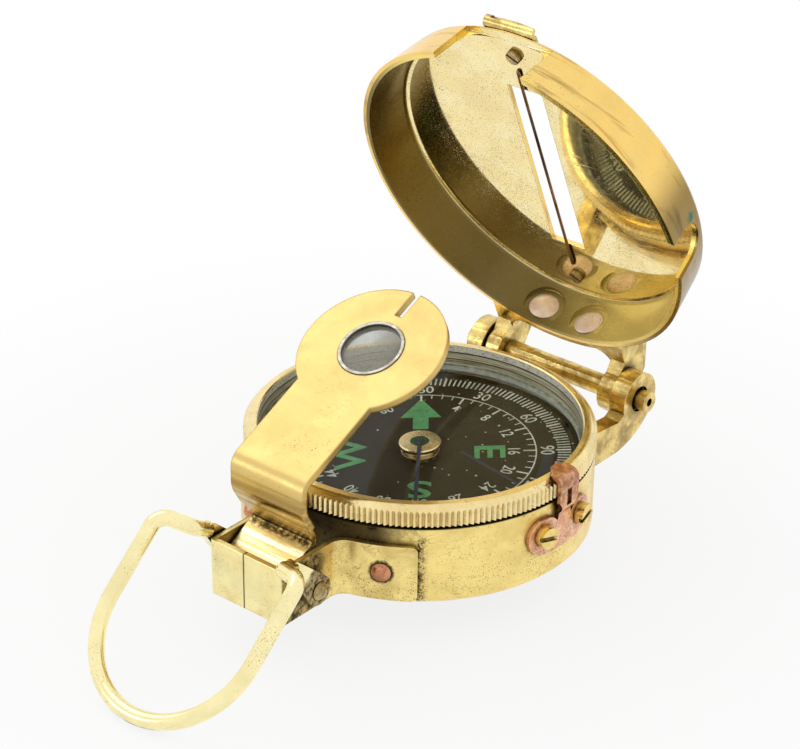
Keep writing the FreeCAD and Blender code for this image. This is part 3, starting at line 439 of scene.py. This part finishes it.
def lidDetail(graph, point, tone, rough):
    look = lidLook
    home = graph.vector("SUBTRACT", point, (0, look["hingeY"], look["hingeZ"]))
    home = graph.place(home, turn=(math.radians(look["open"]), 0, 0),
                       shift=(0, look["hingeY"], look["hingeZ"]))
    x, y, z = graph.split(home)
    middle = graph.plus(graph.times(graph.minus(z, look["rimZ"]), -look["slope"]), look["midR"])
    inside = graph.times(graph.math("LESS_THAN", graph.across(x, y), middle),
                         graph.math("LESS_THAN", z, look["innerZ"] + look["innerPast"]))
    floor = graph.times(inside, graph.fade(z, *(look["innerZ"] + step for step in look["floorFade"])))
    wall = graph.minus(inside, floor)
    outside = graph.minus(1.0, inside)
    cloud = graph.noise(graph.place(home, (1, 1, 0.4)), 0.16, detail=4.0, rough=0.6)
    golden = graph.times(outside, graph.fade(cloud, *look["goldenPatch"]))
    # umber streaks on the outside: stain, partly painted shade
    streak = graph.place(home, (0.06, 0.06, 0.35), shift=(4, 9, 2))
    streak = graph.noise(streak, 1.0, detail=4.0, rough=0.6, warp=0.8)
    streak = graph.times(outside, graph.fade(streak, *look["umberPatch"]))
    # painted shade on the lid's outside by the side notch
    notchShade = graph.times(graph.fade(y, *look["notchY"]), graph.fade(x, *look["notchX"]))
    notchShade = graph.times(graph.times(outside, notchShade), look["notchTone"])
    # painted shade: the lid's wall darkened towards the left
    leftShade = graph.fadeOut(graph.plus(x, graph.times(y, look["leftSlant"])), *look["leftFade"])
    fleck = graph.fade(graph.noise(point, 4.5, detail=2.0, rough=0.6), *look["fleckFade"])
    tone = graph.tint(golden, tone, look["golden"])
    tone = graph.tint(streak, tone, look["umber"])
    tone = graph.tint(notchShade, tone, look["dark"])
    tone = graph.tint(graph.times(wall, graph.fade(cloud, *look["olivePatch"])), tone, look["olive"])
    tone = graph.tint(graph.times(wall, look["yellowTone"]), tone, look["yellow"])
    tone = graph.tint(graph.times(wall, graph.times(leftShade, look["leftShadeTone"])), tone, look["dark"])
    tone = graph.tint(graph.times(floor, graph.fade(cloud, *look["palePatch"])), tone, look["pale"])
    tone = graph.tint(graph.times(graph.times(floor, fleck), look["fleckTone"]), tone, brass["stain"])
    mirror = graph.plus(graph.fade(cloud, *look["mirrorPatch"]), graph.times(fleck, look["fleckRough"]))
    rough = graph.blend(floor, rough, mirror)
    away = graph.vector("LENGTH", graph.vector("SUBTRACT", home, look["mossAt"]))
    away = graph.plus(away, graph.times(graph.noise(point, 1.8, detail=3.0), look["mossRagged"]))
    moss = graph.fadeOut(away, *look["mossFade"])
    bloom = graph.times(wall, graph.fade(y, *look["bloomPatch"]))
    tone = graph.tint(moss, tone, look["green"])
    rough = graph.plus(rough, graph.times(moss, look["mossRough"]))
    return tone, rough, graph.minus(1.0, graph.larger(moss, bloom))


# the detent spring: browner towards the top of its tongue, over a paler plate
springLook = {"brown": colour(0.34, 0.13, 0.06), "brownZ": (10.5, 15.0),
              "brownPatch": (0.3, 0.65, 0.25, 0.85)}


def springDetail(graph, point, tone, rough):
    z = graph.split(point)[2]
    blotch = graph.fade(graph.noise(point, 0.9, detail=4.0), *springLook["brownPatch"])
    brown = graph.times(graph.fade(z, *springLook["brownZ"]), blotch)
    return graph.tint(brown, tone, springLook["brown"]), rough, 1.0


caseBrass = brassMaterial(
    "caseBrass", caseDetail, bright=colour(1.0, 0.79, 0.29), grain=(0.05, 0.05, 1.0), scratches=0.8,
    roughness=0.24, spots=0.55)
strapBrass = brassMaterial(
    "strapBrass", strapDetail, bright=colour(0.97, 0.77, 0.29), deep=colour(0.58, 0.42, 0.14),
    grain=(0.1, 0.1, 1.0), scratches=0.9, spots=0.7, cloudDepth=0.7, cloudSize=4.0, roughness=0.25,
    edge=0.2)
bezelBrass = brassMaterial(
    "bezelBrass", bezelDetail, bright=colour(1.0, 0.82, 0.42), deep=colour(0.60, 0.42, 0.15),
    cloudDepth=0.4, dirt=1.0, dirtReach=0.55, edge=0.07, roughness=0.13)
armBrass = brassMaterial(
    "armBrass", armDetail, bright=colour(0.76, 0.56, 0.21), deep=colour(0.68, 0.48, 0.16),
    grain=(1.0, 0.05, 0.05), grainSize=0.10, grainDepth=0.45, cloudDepth=0.35, spots=0.25,
    roughness=0.27, scratches=0.12, edge=0.35)
lidBrass = brassMaterial(
    "lidBrass", lidDetail, grain=(0.3, 1.0, 1.0), grainSize=0.4, grainDepth=0.06, spots=0.75,
    scratches=0.22, roughness=0.16, dirtReach=1.1, dents=0.012, relief=0.3)
ringBrass = brassMaterial(
    "ringBrass", ringDetail, bright=colour(1.0, 0.90, 0.50), deep=colour(0.80, 0.68, 0.34),
    grain=(1, 1, 1), grainSize=0.6, roughness=0.09, spots=0.3, cloudSize=5.0, cloudDepth=0.5,
    dents=0.02, scratches=0.25, relief=0.5)
hingeBrass = brassMaterial(
    "hingeBrass", deep=colour(0.42, 0.29, 0.10), grain=(1.0, 0.2, 0.2), roughness=0.13, spots=0.7,
    cloudSize=2.6, cloudDepth=1.0, dirt=1.0, dirtReach=2.2)
screwBrass = brassMaterial(
    "screwBrass", roughness=0.10, spots=0.4, cloudSize=1.5, edge=0.12, dirt=1.0, dirtReach=1.0)
studBrass = brassMaterial(
    "studBrass", bright=colour(0.55, 0.42, 0.20), deep=colour(0.25, 0.17, 0.07), roughness=0.18,
    spots=0.9, cloudSize=1.2, cloudDepth=1.0, edge=0.12, dirt=1.0, dirtReach=1.3)
hubBrass = brassMaterial(
    "hubBrass", bright=colour(1.0, 0.80, 0.50), deep=colour(0.85, 0.62, 0.34), roughness=0.14,
    grain=(1, 1, 1), cloudDepth=0.3, dirt=0.7, edge=0.1, dirtReach=0.5)
springCopper = brassMaterial(
    "copper", springDetail, bright=colour(1.0, 0.62, 0.41), deep=colour(0.66, 0.31, 0.16),
    tarnish=colour(0.12, 0.035, 0.015), cloudSize=1.6, cloudDepth=0.9, roughness=0.15,
    dirt=1.0, dirtReach=1.6, spots=0.8, dents=0.07, edge=0.2)
rivetCopper = brassMaterial(
    "rivetCopper", bright=colour(1.0, 0.84, 0.66), deep=colour(0.98, 0.60, 0.42),
    tarnish=colour(0.20, 0.06, 0.02), metal=0.2, cloudSize=1.5, cloudDepth=0.8, roughness=0.26,
    dirt=1.0, dirtReach=0.8, spots=0.5, dents=0.30, edge=0.2)
darkCopper = brassMaterial(
    "darkCopper", bright=colour(0.70, 0.33, 0.18), deep=colour(0.36, 0.13, 0.06),
    tarnish=colour(0.05, 0.015, 0.008), cloudSize=1.6, cloudDepth=1.0, roughness=0.2, dirt=1.0,
    dirtReach=1.2, spots=0.9, dents=0.2)
silverRing = brassMaterial(
    "silverRing", bright=colour(1.0, 0.99, 0.90), deep=colour(0.60, 0.56, 0.42),
    tarnish=colour(0.2, 0.17, 0.1), metal=0.3, cloudSize=1.5, roughness=0.5, dirt=0.4, edge=0.15)
nickel = brassMaterial(
    "nickel", bright=colour(0.50, 0.49, 0.43), deep=colour(0.28, 0.25, 0.18),
    tarnish=colour(0.12, 0.10, 0.06), cloudSize=2.2, cloudDepth=0.9, roughness=0.16, spots=0.6,
    edge=0.15, dirtReach=0.6)
steel = brassMaterial(
    "steel", bright=colour(0.5, 0.5, 0.5), deep=colour(0.35, 0.34, 0.33),
    tarnish=colour(0.1, 0.09, 0.08), roughness=0.3)
darkWire = brassMaterial(
    "darkWire", bright=colour(0.42, 0.20, 0.07), deep=colour(0.03, 0.022, 0.015),
    tarnish=colour(0.02, 0.015, 0.01), cloudSize=9.0, cloudDepth=1.0, roughness=0.35, edge=0.05)
print("metals ready")

# clear sheet glass with a little dust and a greyish film; thin, so lamps light what lies under it
glassLook = {"clear": colour(0.96, 0.98, 0.97), "wave": 0.05, "dustGap": 1.4, "dust": 0.5,
             "dustFade": (0.03, 0.07), "rareFade": (0.55, 0.6), "smearFade": (0.3, 0.8), "filmLeast": 0.4}


def clearGlass(name, film, filmTone, gloss, bend, share):
    material, graph = newMaterial(name)
    point = graph.millimetres()
    see = graph.put("ShaderNodeBsdfTransparent", {"Color": glassLook["clear"]}).outputs[0]
    wave = graph.put("ShaderNodeBump", {"Height": graph.noise(point, 0.05, detail=1.0),
                                        "Distance": glassLook["wave"] * mm})
    shine = graph.put("ShaderNodeBsdfGlossy", {"Roughness": gloss, "Normal": wave.outputs[0]}).outputs[0]
    edge = graph.put("ShaderNodeFresnel", {"IOR": bend}).outputs[0]
    front = graph.minus(1.0, graph.put("ShaderNodeNewGeometry").outputs["Backfacing"])
    edge = graph.times(edge, graph.times(front, share))
    glass = graph.put("ShaderNodeMixShader", {0: edge, 1: see, 2: shine}).outputs[0]
    dust = graph.put("ShaderNodeTexVoronoi", {"Vector": point, "Scale": 1 / glassLook["dustGap"]})
    dust = graph.fade(dust.outputs["Distance"], *glassLook["dustFade"], glassLook["dust"], 0.0)
    dust = graph.times(dust, graph.fade(graph.noise(point, 0.5, detail=1.0), *glassLook["rareFade"]))
    smear = graph.noise(point, 0.2, detail=4.0, rough=0.6)
    smear = graph.fade(smear, *glassLook["smearFade"], glassLook["filmLeast"] * film, film)
    veil = graph.put("ShaderNodeBsdfDiffuse", {"Color": filmTone}).outputs[0]
    shader = graph.put("ShaderNodeMixShader", {0: graph.larger(dust, smear), 1: glass, 2: veil})
    finishMaterial(graph, shader.outputs[0])
    return material


bezelGlass = clearGlass("bezelGlass", film=0.004, filmTone=colour(0.6, 0.58, 0.5), gloss=0.015,
                        bend=1.5, share=0.36)
sightLens = clearGlass("sightLens", film=0.72, filmTone=colour(0.36, 0.34, 0.28), gloss=0.08,
                       bend=1.6, share=1.0)


# the printed card: matt black with dust; each ink has its colour, the colour it wears to and a roughness
cardLook = {"black": colour(0.030, 0.019, 0.006), "blackWorn": colour(0.045, 0.030, 0.011),
            "wornPatch": (0.4, 0.8, 0.0, 0.5), "speck": colour(0.75, 0.72, 0.60), "speckField": 0.62,
            "speckSize": 0.13, "speckEdge": (-0.02, 0.01), "speckFade": (0.35, 0.6), "speckTone": 0.9,
            "shine": 0.2, "tooth": 0.02, "roughness": (0.3, 0.7, 0.5, 0.7)}
inks = {"whitePrint": (colour(0.90, 0.88, 0.78), colour(0.5, 0.48, 0.4), 0.5),
        "greenPrint": (colour(0.13, 0.44, 0.16), colour(0.08, 0.28, 0.11), 0.5),
        "hairLine": (colour(0.006, 0.006, 0.02), colour(0.01, 0.01, 0.09), 0.4),
        "jewelGreen": (colour(0.015, 0.10, 0.05), colour(0.005, 0.035, 0.02), 0.08)}
inkLook = {"fineShare": 0.6, "wideShare": 0.4, "wornFade": (0.38, 0.66), "glossFade": (0.3, 0.7),
           "roughStep": 0.2}


def inkMaterial(name, ink, worn, rough):
    material, graph = newMaterial(name)
    point = graph.millimetres()
    fine = graph.noise(point, 2.2, detail=4.0, rough=0.6)
    wide = graph.noise(point, 0.25, detail=2.0)
    mix = graph.plus(graph.times(fine, inkLook["fineShare"]), graph.times(wide, inkLook["wideShare"]))
    tone = graph.tint(graph.fade(mix, *inkLook["wornFade"]), ink, worn)
    bump = graph.put("ShaderNodeBump", {"Height": fine, "Distance": cardLook["tooth"] * mm})
    rough = graph.fade(fine, *inkLook["glossFade"], rough, rough + inkLook["roughStep"])
    shader = graph.put("ShaderNodeBsdfPrincipled", {"Base Color": tone, "Normal": bump.outputs[0],
                                                    "Roughness": rough})
    finishMaterial(graph, shader.outputs[0])
    return material


def cardMaterial():
    look = cardLook
    material, graph = newMaterial("cardBlack")
    point = graph.millimetres()
    cell = graph.put("ShaderNodeTexVoronoi", {"Vector": point, "Scale": look["speckField"]})
    size = graph.split(cell.outputs["Color"])[0]
    speck = graph.minus(graph.times(size, look["speckSize"]), cell.outputs["Distance"])
    speck = graph.times(graph.fade(speck, *look["speckEdge"]), graph.fade(size, *look["speckFade"]))
    cloud = graph.noise(point, 0.3, detail=4.0, rough=0.6)
    tone = graph.tint(graph.fade(cloud, *look["wornPatch"]), look["black"], look["blackWorn"])
    tone = graph.tint(graph.times(speck, look["speckTone"]), tone, look["speck"])
    bump = graph.put("ShaderNodeBump", {"Height": graph.plus(speck, graph.noise(point, 3.0, detail=3.0)),
                                        "Distance": look["tooth"] * mm})
    shader = graph.put("ShaderNodeBsdfPrincipled", {
        "Base Color": tone, "Normal": bump.outputs[0], "Roughness": graph.fade(cloud, *look["roughness"]),
        "Specular IOR Level": look["shine"]})
    finishMaterial(graph, shader.outputs[0])
    return material


whitePrint, greenPrint, hairLine, jewelGreen = (inkMaterial(name, *ink) for name, ink in inks.items())
print("glass and print ready")

dress(caseBrass, "case_body")
dress(strapBrass, "front_bracket")
dress(armBrass, "sight_arm")
dress(lidBrass, "lid_shell")
dress(ringBrass, "thumb_ring")
dress(hingeBrass, "hinge_bracket", "lid_bracket", "hinge_sleeve", "hinge_pin", "lid_latch")
dress(screwBrass, "detent_screws")
dress(studBrass, "ring_rivets", "arm_pin", "wire_pins")
dress(hubBrass, "card_hub", "pivot_post")
dress(rivetCopper, "lid_rivets")
dress(springCopper, "detent_spring")
dress(darkCopper, "bracket_rivets")
dress(nickel, "lens_ring")
dress(silverRing, "glass_ring")
dress(steel, "bezel_snap_wire", "pivot_needle", "magnet_bar")
dress(darkWire, "sighting_wire")
dress(bezelGlass, "bezel_glass")
dress(sightLens, "sight_lens")
dress(cardMaterial(), "compass_card")
dress(jewelGreen, "jewel")
dress(bezelBrass, "bezel_ring")
print("pieces of the frame dressed")


def meshObject(name, mesh, material):
    piece = bpy.data.objects.new(name, mesh)
    scene.collection.objects.link(piece)
    if material:
        mesh.materials.clear()
        mesh.materials.append(material)
    return piece


def baked(piece):
    # the evaluated object as a plain mesh, with its modifiers gone
    bpy.context.view_layer.update()
    ready = piece.evaluated_get(bpy.context.evaluated_depsgraph_get())
    mesh = bpy.data.meshes.new_from_object(ready)
    piece.modifiers.clear()
    old = piece.data
    piece.data = mesh
    bpy.data.meshes.remove(old)
    return piece


def nodeModifier(piece, tree, values):
    modifier = piece.modifiers.new(tree.name, "NODES")
    modifier.node_group = tree
    for item in tree.interface.items_tree:
        if item.item_type == "SOCKET" and item.in_out == "INPUT" and item.name in values:
            modifier[item.identifier] = values[item.name]


def newTree(name, inputs):
    tree = bpy.data.node_groups.new(name, "GeometryNodeTree")
    for label, kind in inputs.items():
        tree.interface.new_socket(label, in_out="INPUT", socket_type=kind)
    tree.interface.new_socket("Geometry", in_out="OUTPUT", socket_type="NodeSocketGeometry")
    return tree, Graph(tree)


# marks round a circle, inwards from Outer: Count of them, and every so many (Every) one is Long and Wide
def markTree():
    inputs = {"Count": "NodeSocketInt", "Every": "NodeSocketInt", "Outer": "NodeSocketFloat",
              "Length": "NodeSocketFloat", "Width": "NodeSocketFloat", "Thickness": "NodeSocketFloat",
              "Height": "NodeSocketFloat", "Long": "NodeSocketFloat", "Wide": "NodeSocketFloat",
              "Start": "NodeSocketFloat", "Material": "NodeSocketMaterial"}
    tree, graph = newTree("circleMarks", inputs)
    given = graph.put("NodeGroupInput").outputs
    index = graph.put("GeometryNodeInputIndex").outputs[0]
    angle = graph.math("DIVIDE", graph.times(index, 2 * math.pi), given["Count"])
    angle = graph.plus(angle, given["Start"])
    main = graph.math("COMPARE", graph.math("MODULO", index, given["Every"]), 0.0, 0.1)
    stretch = graph.math("MULTIPLY_ADD", main, graph.minus(given["Long"], 1.0), 1.0)
    widen = graph.math("MULTIPLY_ADD", main, graph.minus(given["Wide"], 1.0), 1.0)
    half = graph.times(graph.times(given["Length"], stretch), 0.5)
    radius = graph.minus(given["Outer"], half)
    spot = graph.join(graph.times(radius, graph.math("SINE", angle)),
                      graph.times(radius, graph.math("COSINE", angle)), given["Height"])
    points = graph.put("GeometryNodePoints", {"Count": given["Count"], "Position": spot}).outputs[0]
    size = graph.join(given["Width"], given["Length"], given["Thickness"])
    bar = graph.put("GeometryNodeMeshCube", {"Size": size}).outputs[0]
    turn = graph.put("FunctionNodeEulerToRotation", {0: graph.join(z=graph.times(angle, -1.0))}).outputs[0]
    marks = graph.put("GeometryNodeInstanceOnPoints", {"Points": points, "Instance": bar, "Rotation": turn,
                                                       "Scale": graph.join(widen, stretch, 1.0)}).outputs[0]
    solid = graph.put("GeometryNodeRealizeInstances", {"Geometry": marks}).outputs[0]
    done = graph.put("GeometryNodeSetMaterial", {"Geometry": solid, "Material": given["Material"]})
    graph.put("NodeGroupOutput", {0: done.outputs[0]})
    return tree


# The printed card. Bearings are degrees clockwise round the card from its north, and north is where
# that lies, measured from the hinge's side. The card leans by tip degrees about the needle's point,
# down towards tipTo. Em makes a font's size of a capital's height, Wide stretches its letters sideways.
dial = {"north": -38.9, "top": 10.3, "lift": 0.02, "thick": 0.02, "tip": 3.0, "tipTo": 203.0,
        "pivotZ": 11.8, "circleR": 18.16, "circleW": 0.22, "circleSteps": 256,
        "figureOuterR": 18.85, "figureOuter": 2.3, "outerEm": 1.35, "outerWide": 0.9, "outerStep": 30,
        "figureInnerR": 13.75, "figureInner": 2.15, "innerEm": 1.3, "innerWide": 0.85, "innerStep": 4,
        "figureBold": 0.02, "letterR": 8.6, "letterSize": 4.9, "letterEm": 1.38, "letterWide": 1.3,
        "letterBold": 0.12, "letters": {"E": 90, "S": 180, "W": 270},
        "arrowTip": 17.0, "arrowWing": 10.9, "arrowHalf": 3.3, "shaftHalf": 1.25, "shaftEnd": 7.3}
markRings = {
    "cardOuterMarks": {"Count": 180, "Every": 5, "Outer": 23.6, "Length": 2.1, "Width": 0.26,
                       "Long": 1.12, "Wide": 1.5},
    "cardInnerMarks": {"Count": 64, "Every": 4, "Outer": dial["circleR"], "Length": 1.15, "Width": 0.2,
                       "Long": 1.75, "Wide": 1.7}}
printZ = dial["top"] + dial["lift"]
lowSide = Vector((math.sin(math.radians(dial["tipTo"])), math.cos(math.radians(dial["tipTo"])), 0))
tipCentre = Vector((0, 0, dial["pivotZ"])) * mm
cardLean = (Matrix.Translation(tipCentre)
            @ Matrix.Rotation(math.radians(dial["tip"]), 4, Vector((0, 0, 1)).cross(lowSide))
            @ Matrix.Translation(-tipCentre))
marks = markTree()


def circleMarks(name, ring):
    piece = meshObject(name, bpy.data.meshes.new(name), None)
    lengths = {key: ring[key] * mm for key in ("Outer", "Length", "Width")}
    nodeModifier(piece, marks, {**ring, **lengths, "Thickness": dial["thick"] * mm, "Height": printZ * mm,
                                "Start": math.radians(dial["north"]), "Material": whitePrint})
    return baked(piece)


def at(bearing, radius):
    angle = math.radians(bearing + dial["north"])
    return Vector((radius * math.sin(angle), radius * math.cos(angle), printZ)) * mm


def flatRing(name, inner, outer, material):
    mesh = bpy.data.meshes.new(name)
    edit = bmesh.new()
    steps = dial["circleSteps"]
    rings = [[edit.verts.new(at(360 * i / steps, r)) for i in range(steps)] for r in (inner, outer)]
    for i in range(steps):
        j = (i + 1) % steps
        edit.faces.new((rings[0][i], rings[1][i], rings[1][j], rings[0][j]))
    bmesh.ops.recalc_face_normals(edit, faces=edit.faces)
    if edit.faces[:][0].normal.z < 0:
        bmesh.ops.reverse_faces(edit, faces=edit.faces)
    edit.to_mesh(mesh)
    edit.free()
    return meshObject(name, mesh, material)


def textMesh(words, size, bearing, radius, wide, bold):
    curve = bpy.data.curves.new("words", "FONT")
    curve.body = words
    curve.size = size * mm
    curve.align_x = "CENTER"
    curve.offset = bold * mm
    curve.resolution_u = 3
    holder = bpy.data.objects.new("words", curve)
    scene.collection.objects.link(holder)
    bpy.context.view_layer.update()
    mesh = bpy.data.meshes.new_from_object(holder.evaluated_get(bpy.context.evaluated_depsgraph_get()))
    bpy.data.objects.remove(holder)
    bpy.data.curves.remove(curve)
    turn = Matrix.Rotation(-math.radians(bearing + dial["north"]), 4, "Z")
    mesh.transform(Matrix.Translation(at(bearing, radius)) @ turn @ Matrix.Diagonal((wide, 1, 1, 1)))
    return mesh


def joined(name, meshes, material):
    whole = bmesh.new()
    for mesh in meshes:
        whole.from_mesh(mesh)
        bpy.data.meshes.remove(mesh)
    result = bpy.data.meshes.new(name)
    whole.to_mesh(result)
    whole.free()
    return meshObject(name, result, material)


def northArrow(name, material):
    right = [(dial["arrowHalf"], dial["arrowWing"]), (dial["shaftHalf"], dial["arrowWing"]),
             (dial["shaftHalf"], dial["shaftEnd"])]
    shape = [(0, dial["arrowTip"])] + right + [(-x, y) for x, y in reversed(right)]
    turn = Matrix.Rotation(-math.radians(dial["north"]), 3, "Z")
    edit = bmesh.new()
    face = edit.faces.new([edit.verts.new(turn @ Vector((x, y, printZ)) * mm) for x, y in shape])
    face.normal_update()
    if face.normal.z < 0:
        face.normal_flip()
    mesh = bpy.data.meshes.new(name)
    edit.to_mesh(mesh)
    edit.free()
    return meshObject(name, mesh, material)


printed = [circleMarks(name, ring) for name, ring in markRings.items()]
printed.append(flatRing("cardCircle", dial["circleR"] - dial["circleW"] / 2,
                        dial["circleR"] + dial["circleW"] / 2, whitePrint))
figures = [textMesh(str(bearing or 360), dial["figureOuter"] * dial["outerEm"], bearing,
                    dial["figureOuterR"], dial["outerWide"], dial["figureBold"])
           for bearing in range(0, 360, dial["outerStep"])]
innerCount = markRings["cardInnerMarks"]["Count"]
figures += [textMesh(str(number), dial["figureInner"] * dial["innerEm"], number * 360 / innerCount,
                     dial["figureInnerR"], dial["innerWide"], dial["figureBold"])
            for number in range(dial["innerStep"], innerCount, dial["innerStep"])]
printed.append(joined("cardFigures", figures, whitePrint))
letters = [textMesh(letter, dial["letterSize"] * dial["letterEm"], bearing, dial["letterR"],
                    dial["letterWide"], dial["letterBold"])
           for letter, bearing in dial["letters"].items()]
printed.append(joined("cardLetters", letters, greenPrint))
printed.append(northArrow("cardArrow", greenPrint))
for piece in printed:
    piece.data.transform(cardLean)
    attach(piece, "card")
print("card printed")

# two dark lines on the underside of the glass, a little uneven in width
glassLines = {"z": 12.97, "width": 0.6, "thick": 0.03, "steps": 24, "wobble": ((0.12, 2.3), (0.08, 5.1)),
              "runs": (((0.0, 0.0), (14.8, -19.4)), ((7.4, 1.0), (20.2, -1.2)))}


def glassLine(name, start, end):
    a, b = Vector((*start, 0)), Vector((*end, 0))
    along = (b - a).normalized()
    across = Vector((-along.y, along.x, 0)) * glassLines["width"] / 2
    top, bottom = glassLines["z"], glassLines["z"] - glassLines["thick"]
    edit = bmesh.new()
    corners = []
    for i in range(glassLines["steps"] + 1):
        p = a.lerp(b, i / glassLines["steps"])
        wobble = 1 + sum(share * math.sin(i * speed) for share, speed in glassLines["wobble"])
        corners.append([edit.verts.new((p + across * wobble * side + Vector((0, 0, z))) * mm)
                        for side, z in ((1, top), (-1, top), (-1, bottom), (1, bottom))])
    for first, second in zip(corners, corners[1:]):
        for k in range(4):
            edit.faces.new((first[k], first[(k + 1) % 4], second[(k + 1) % 4], second[k]))
    edit.faces.new(corners[0])
    edit.faces.new(corners[-1][::-1])
    bmesh.ops.recalc_face_normals(edit, faces=edit.faces)
    mesh = bpy.data.meshes.new(name)
    edit.to_mesh(mesh)
    edit.free()
    return meshObject(name, mesh, hairLine)


for number, (start, end) in enumerate(glassLines["runs"]):
    piece = glassLine("glassLine%d" % (number + 1), start, end)
    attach(piece, "bezel")
print("glass lines made")

# floor and background: the camera, metal and glass see the same white, and the camera also sees the
# shadow near the object; all other light meets the pale floor and the ambient sky. Lengths are metres.
studio = {"below": 0.00015, "reach": 3.0, "shadow": 0.16, "shadowFade": (0.04, 0.13),
          "paleFloor": colour(0.82, 0.82, 0.81), "ambient": 0.8, "white": 1.0}
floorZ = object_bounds()[0][2] - studio["below"]
floorMesh = bpy.data.meshes.new("floor")
floorMesh.from_pydata([(x * studio["reach"], y * studio["reach"], floorZ)
                       for x, y in ((-1, -1), (1, -1), (1, 1), (-1, 1))], [], [(0, 1, 2, 3)])
floorMaterial, graph = newMaterial("paleFloor")
x, y = graph.split(graph.put("ShaderNodeTexCoord").outputs["Object"])[:2]
shadow = graph.fade(graph.across(x, y), *studio["shadowFade"], studio["shadow"], 0.0)
direct, seen = graph.whiteRays()
keep = graph.larger(graph.times(shadow, direct), graph.minus(1.0, seen))
paint = graph.put("ShaderNodeBsdfDiffuse", {"Color": studio["paleFloor"]}).outputs[0]
white = graph.put("ShaderNodeEmission", {"Color": colour(1, 1, 1), "Strength": studio["white"]}).outputs[0]
finishMaterial(graph, graph.put("ShaderNodeMixShader", {0: keep, 1: white, 2: paint}).outputs[0])
meshObject("floor", floorMesh, floorMaterial)

world = bpy.data.worlds.new("studio")
scene.world = world
world.use_nodes = True
world.node_tree.nodes.clear()
graph = Graph(world.node_tree)
direct, seen = graph.whiteRays()
level = graph.blend(seen, studio["ambient"], studio["white"])
sky = graph.put("ShaderNodeBackground", {"Color": colour(1, 1, 1), "Strength": level})
graph.put("ShaderNodeOutputWorld", {"Surface": sky.outputs[0]})

# soft lamps that face the object: place and size in metres, and how bright the disk itself is
lamps = {"keySoftbox": {"place": (-0.34, -0.03, 0.44), "size": 0.34, "level": 1.05},
         "frontSoftbox": {"place": (-0.34, -0.5, 0.16), "size": 0.2, "level": 2.2}}
lampTarget = Vector((0.0, 0.0, 0.02))
for name, lamp in lamps.items():
    light = bpy.data.lights.new(name, "AREA")
    light.shape = "DISK"
    light.size = lamp["size"]
    light.energy = lamp["level"] * math.pi * math.pi * lamp["size"] ** 2 / 4
    holder = bpy.data.objects.new(name, light)
    holder.location = lamp["place"]
    holder.rotation_euler = (Vector(lamp["place"]) - lampTarget).to_track_quat("Z", "Y").to_euler()
    scene.collection.objects.link(holder)

# camera: azimuth from the front towards +X, elevation and roll in degrees, distance and target in mm
view = {"azimuth": 39.58, "elevation": 27.91, "roll": 0.71, "distance": 437.07,
        "target": (-31.55, 33.08, 0.0), "lens": 112.68, "sensor": 36.0, "near": 0.01}
azimuth, elevation, roll = (math.radians(view[k]) for k in ("azimuth", "elevation", "roll"))
back = Vector((math.cos(elevation) * math.sin(azimuth), -math.cos(elevation) * math.cos(azimuth),
               math.sin(elevation)))
right = (-back).cross(Vector((0, 0, 1))).normalized()
above = right.cross(-back)
turned = right * math.cos(roll) + above * math.sin(roll), above * math.cos(roll) - right * math.sin(roll)
spot = (Vector(view["target"]) + back * view["distance"]) * mm
lensData = bpy.data.cameras.new("camera")
lensData.lens = view["lens"]
lensData.sensor_width = view["sensor"]
lensData.sensor_fit = "HORIZONTAL"
lensData.clip_start = view["near"]
camera = bpy.data.objects.new("camera", lensData)
camera.matrix_world = Matrix.Translation(spot) @ Matrix((turned[0], turned[1], back)).transposed().to_4x4()
scene.collection.objects.link(camera)
scene.camera = camera
scene.view_settings.view_transform = "Standard"
print("stage and camera ready")
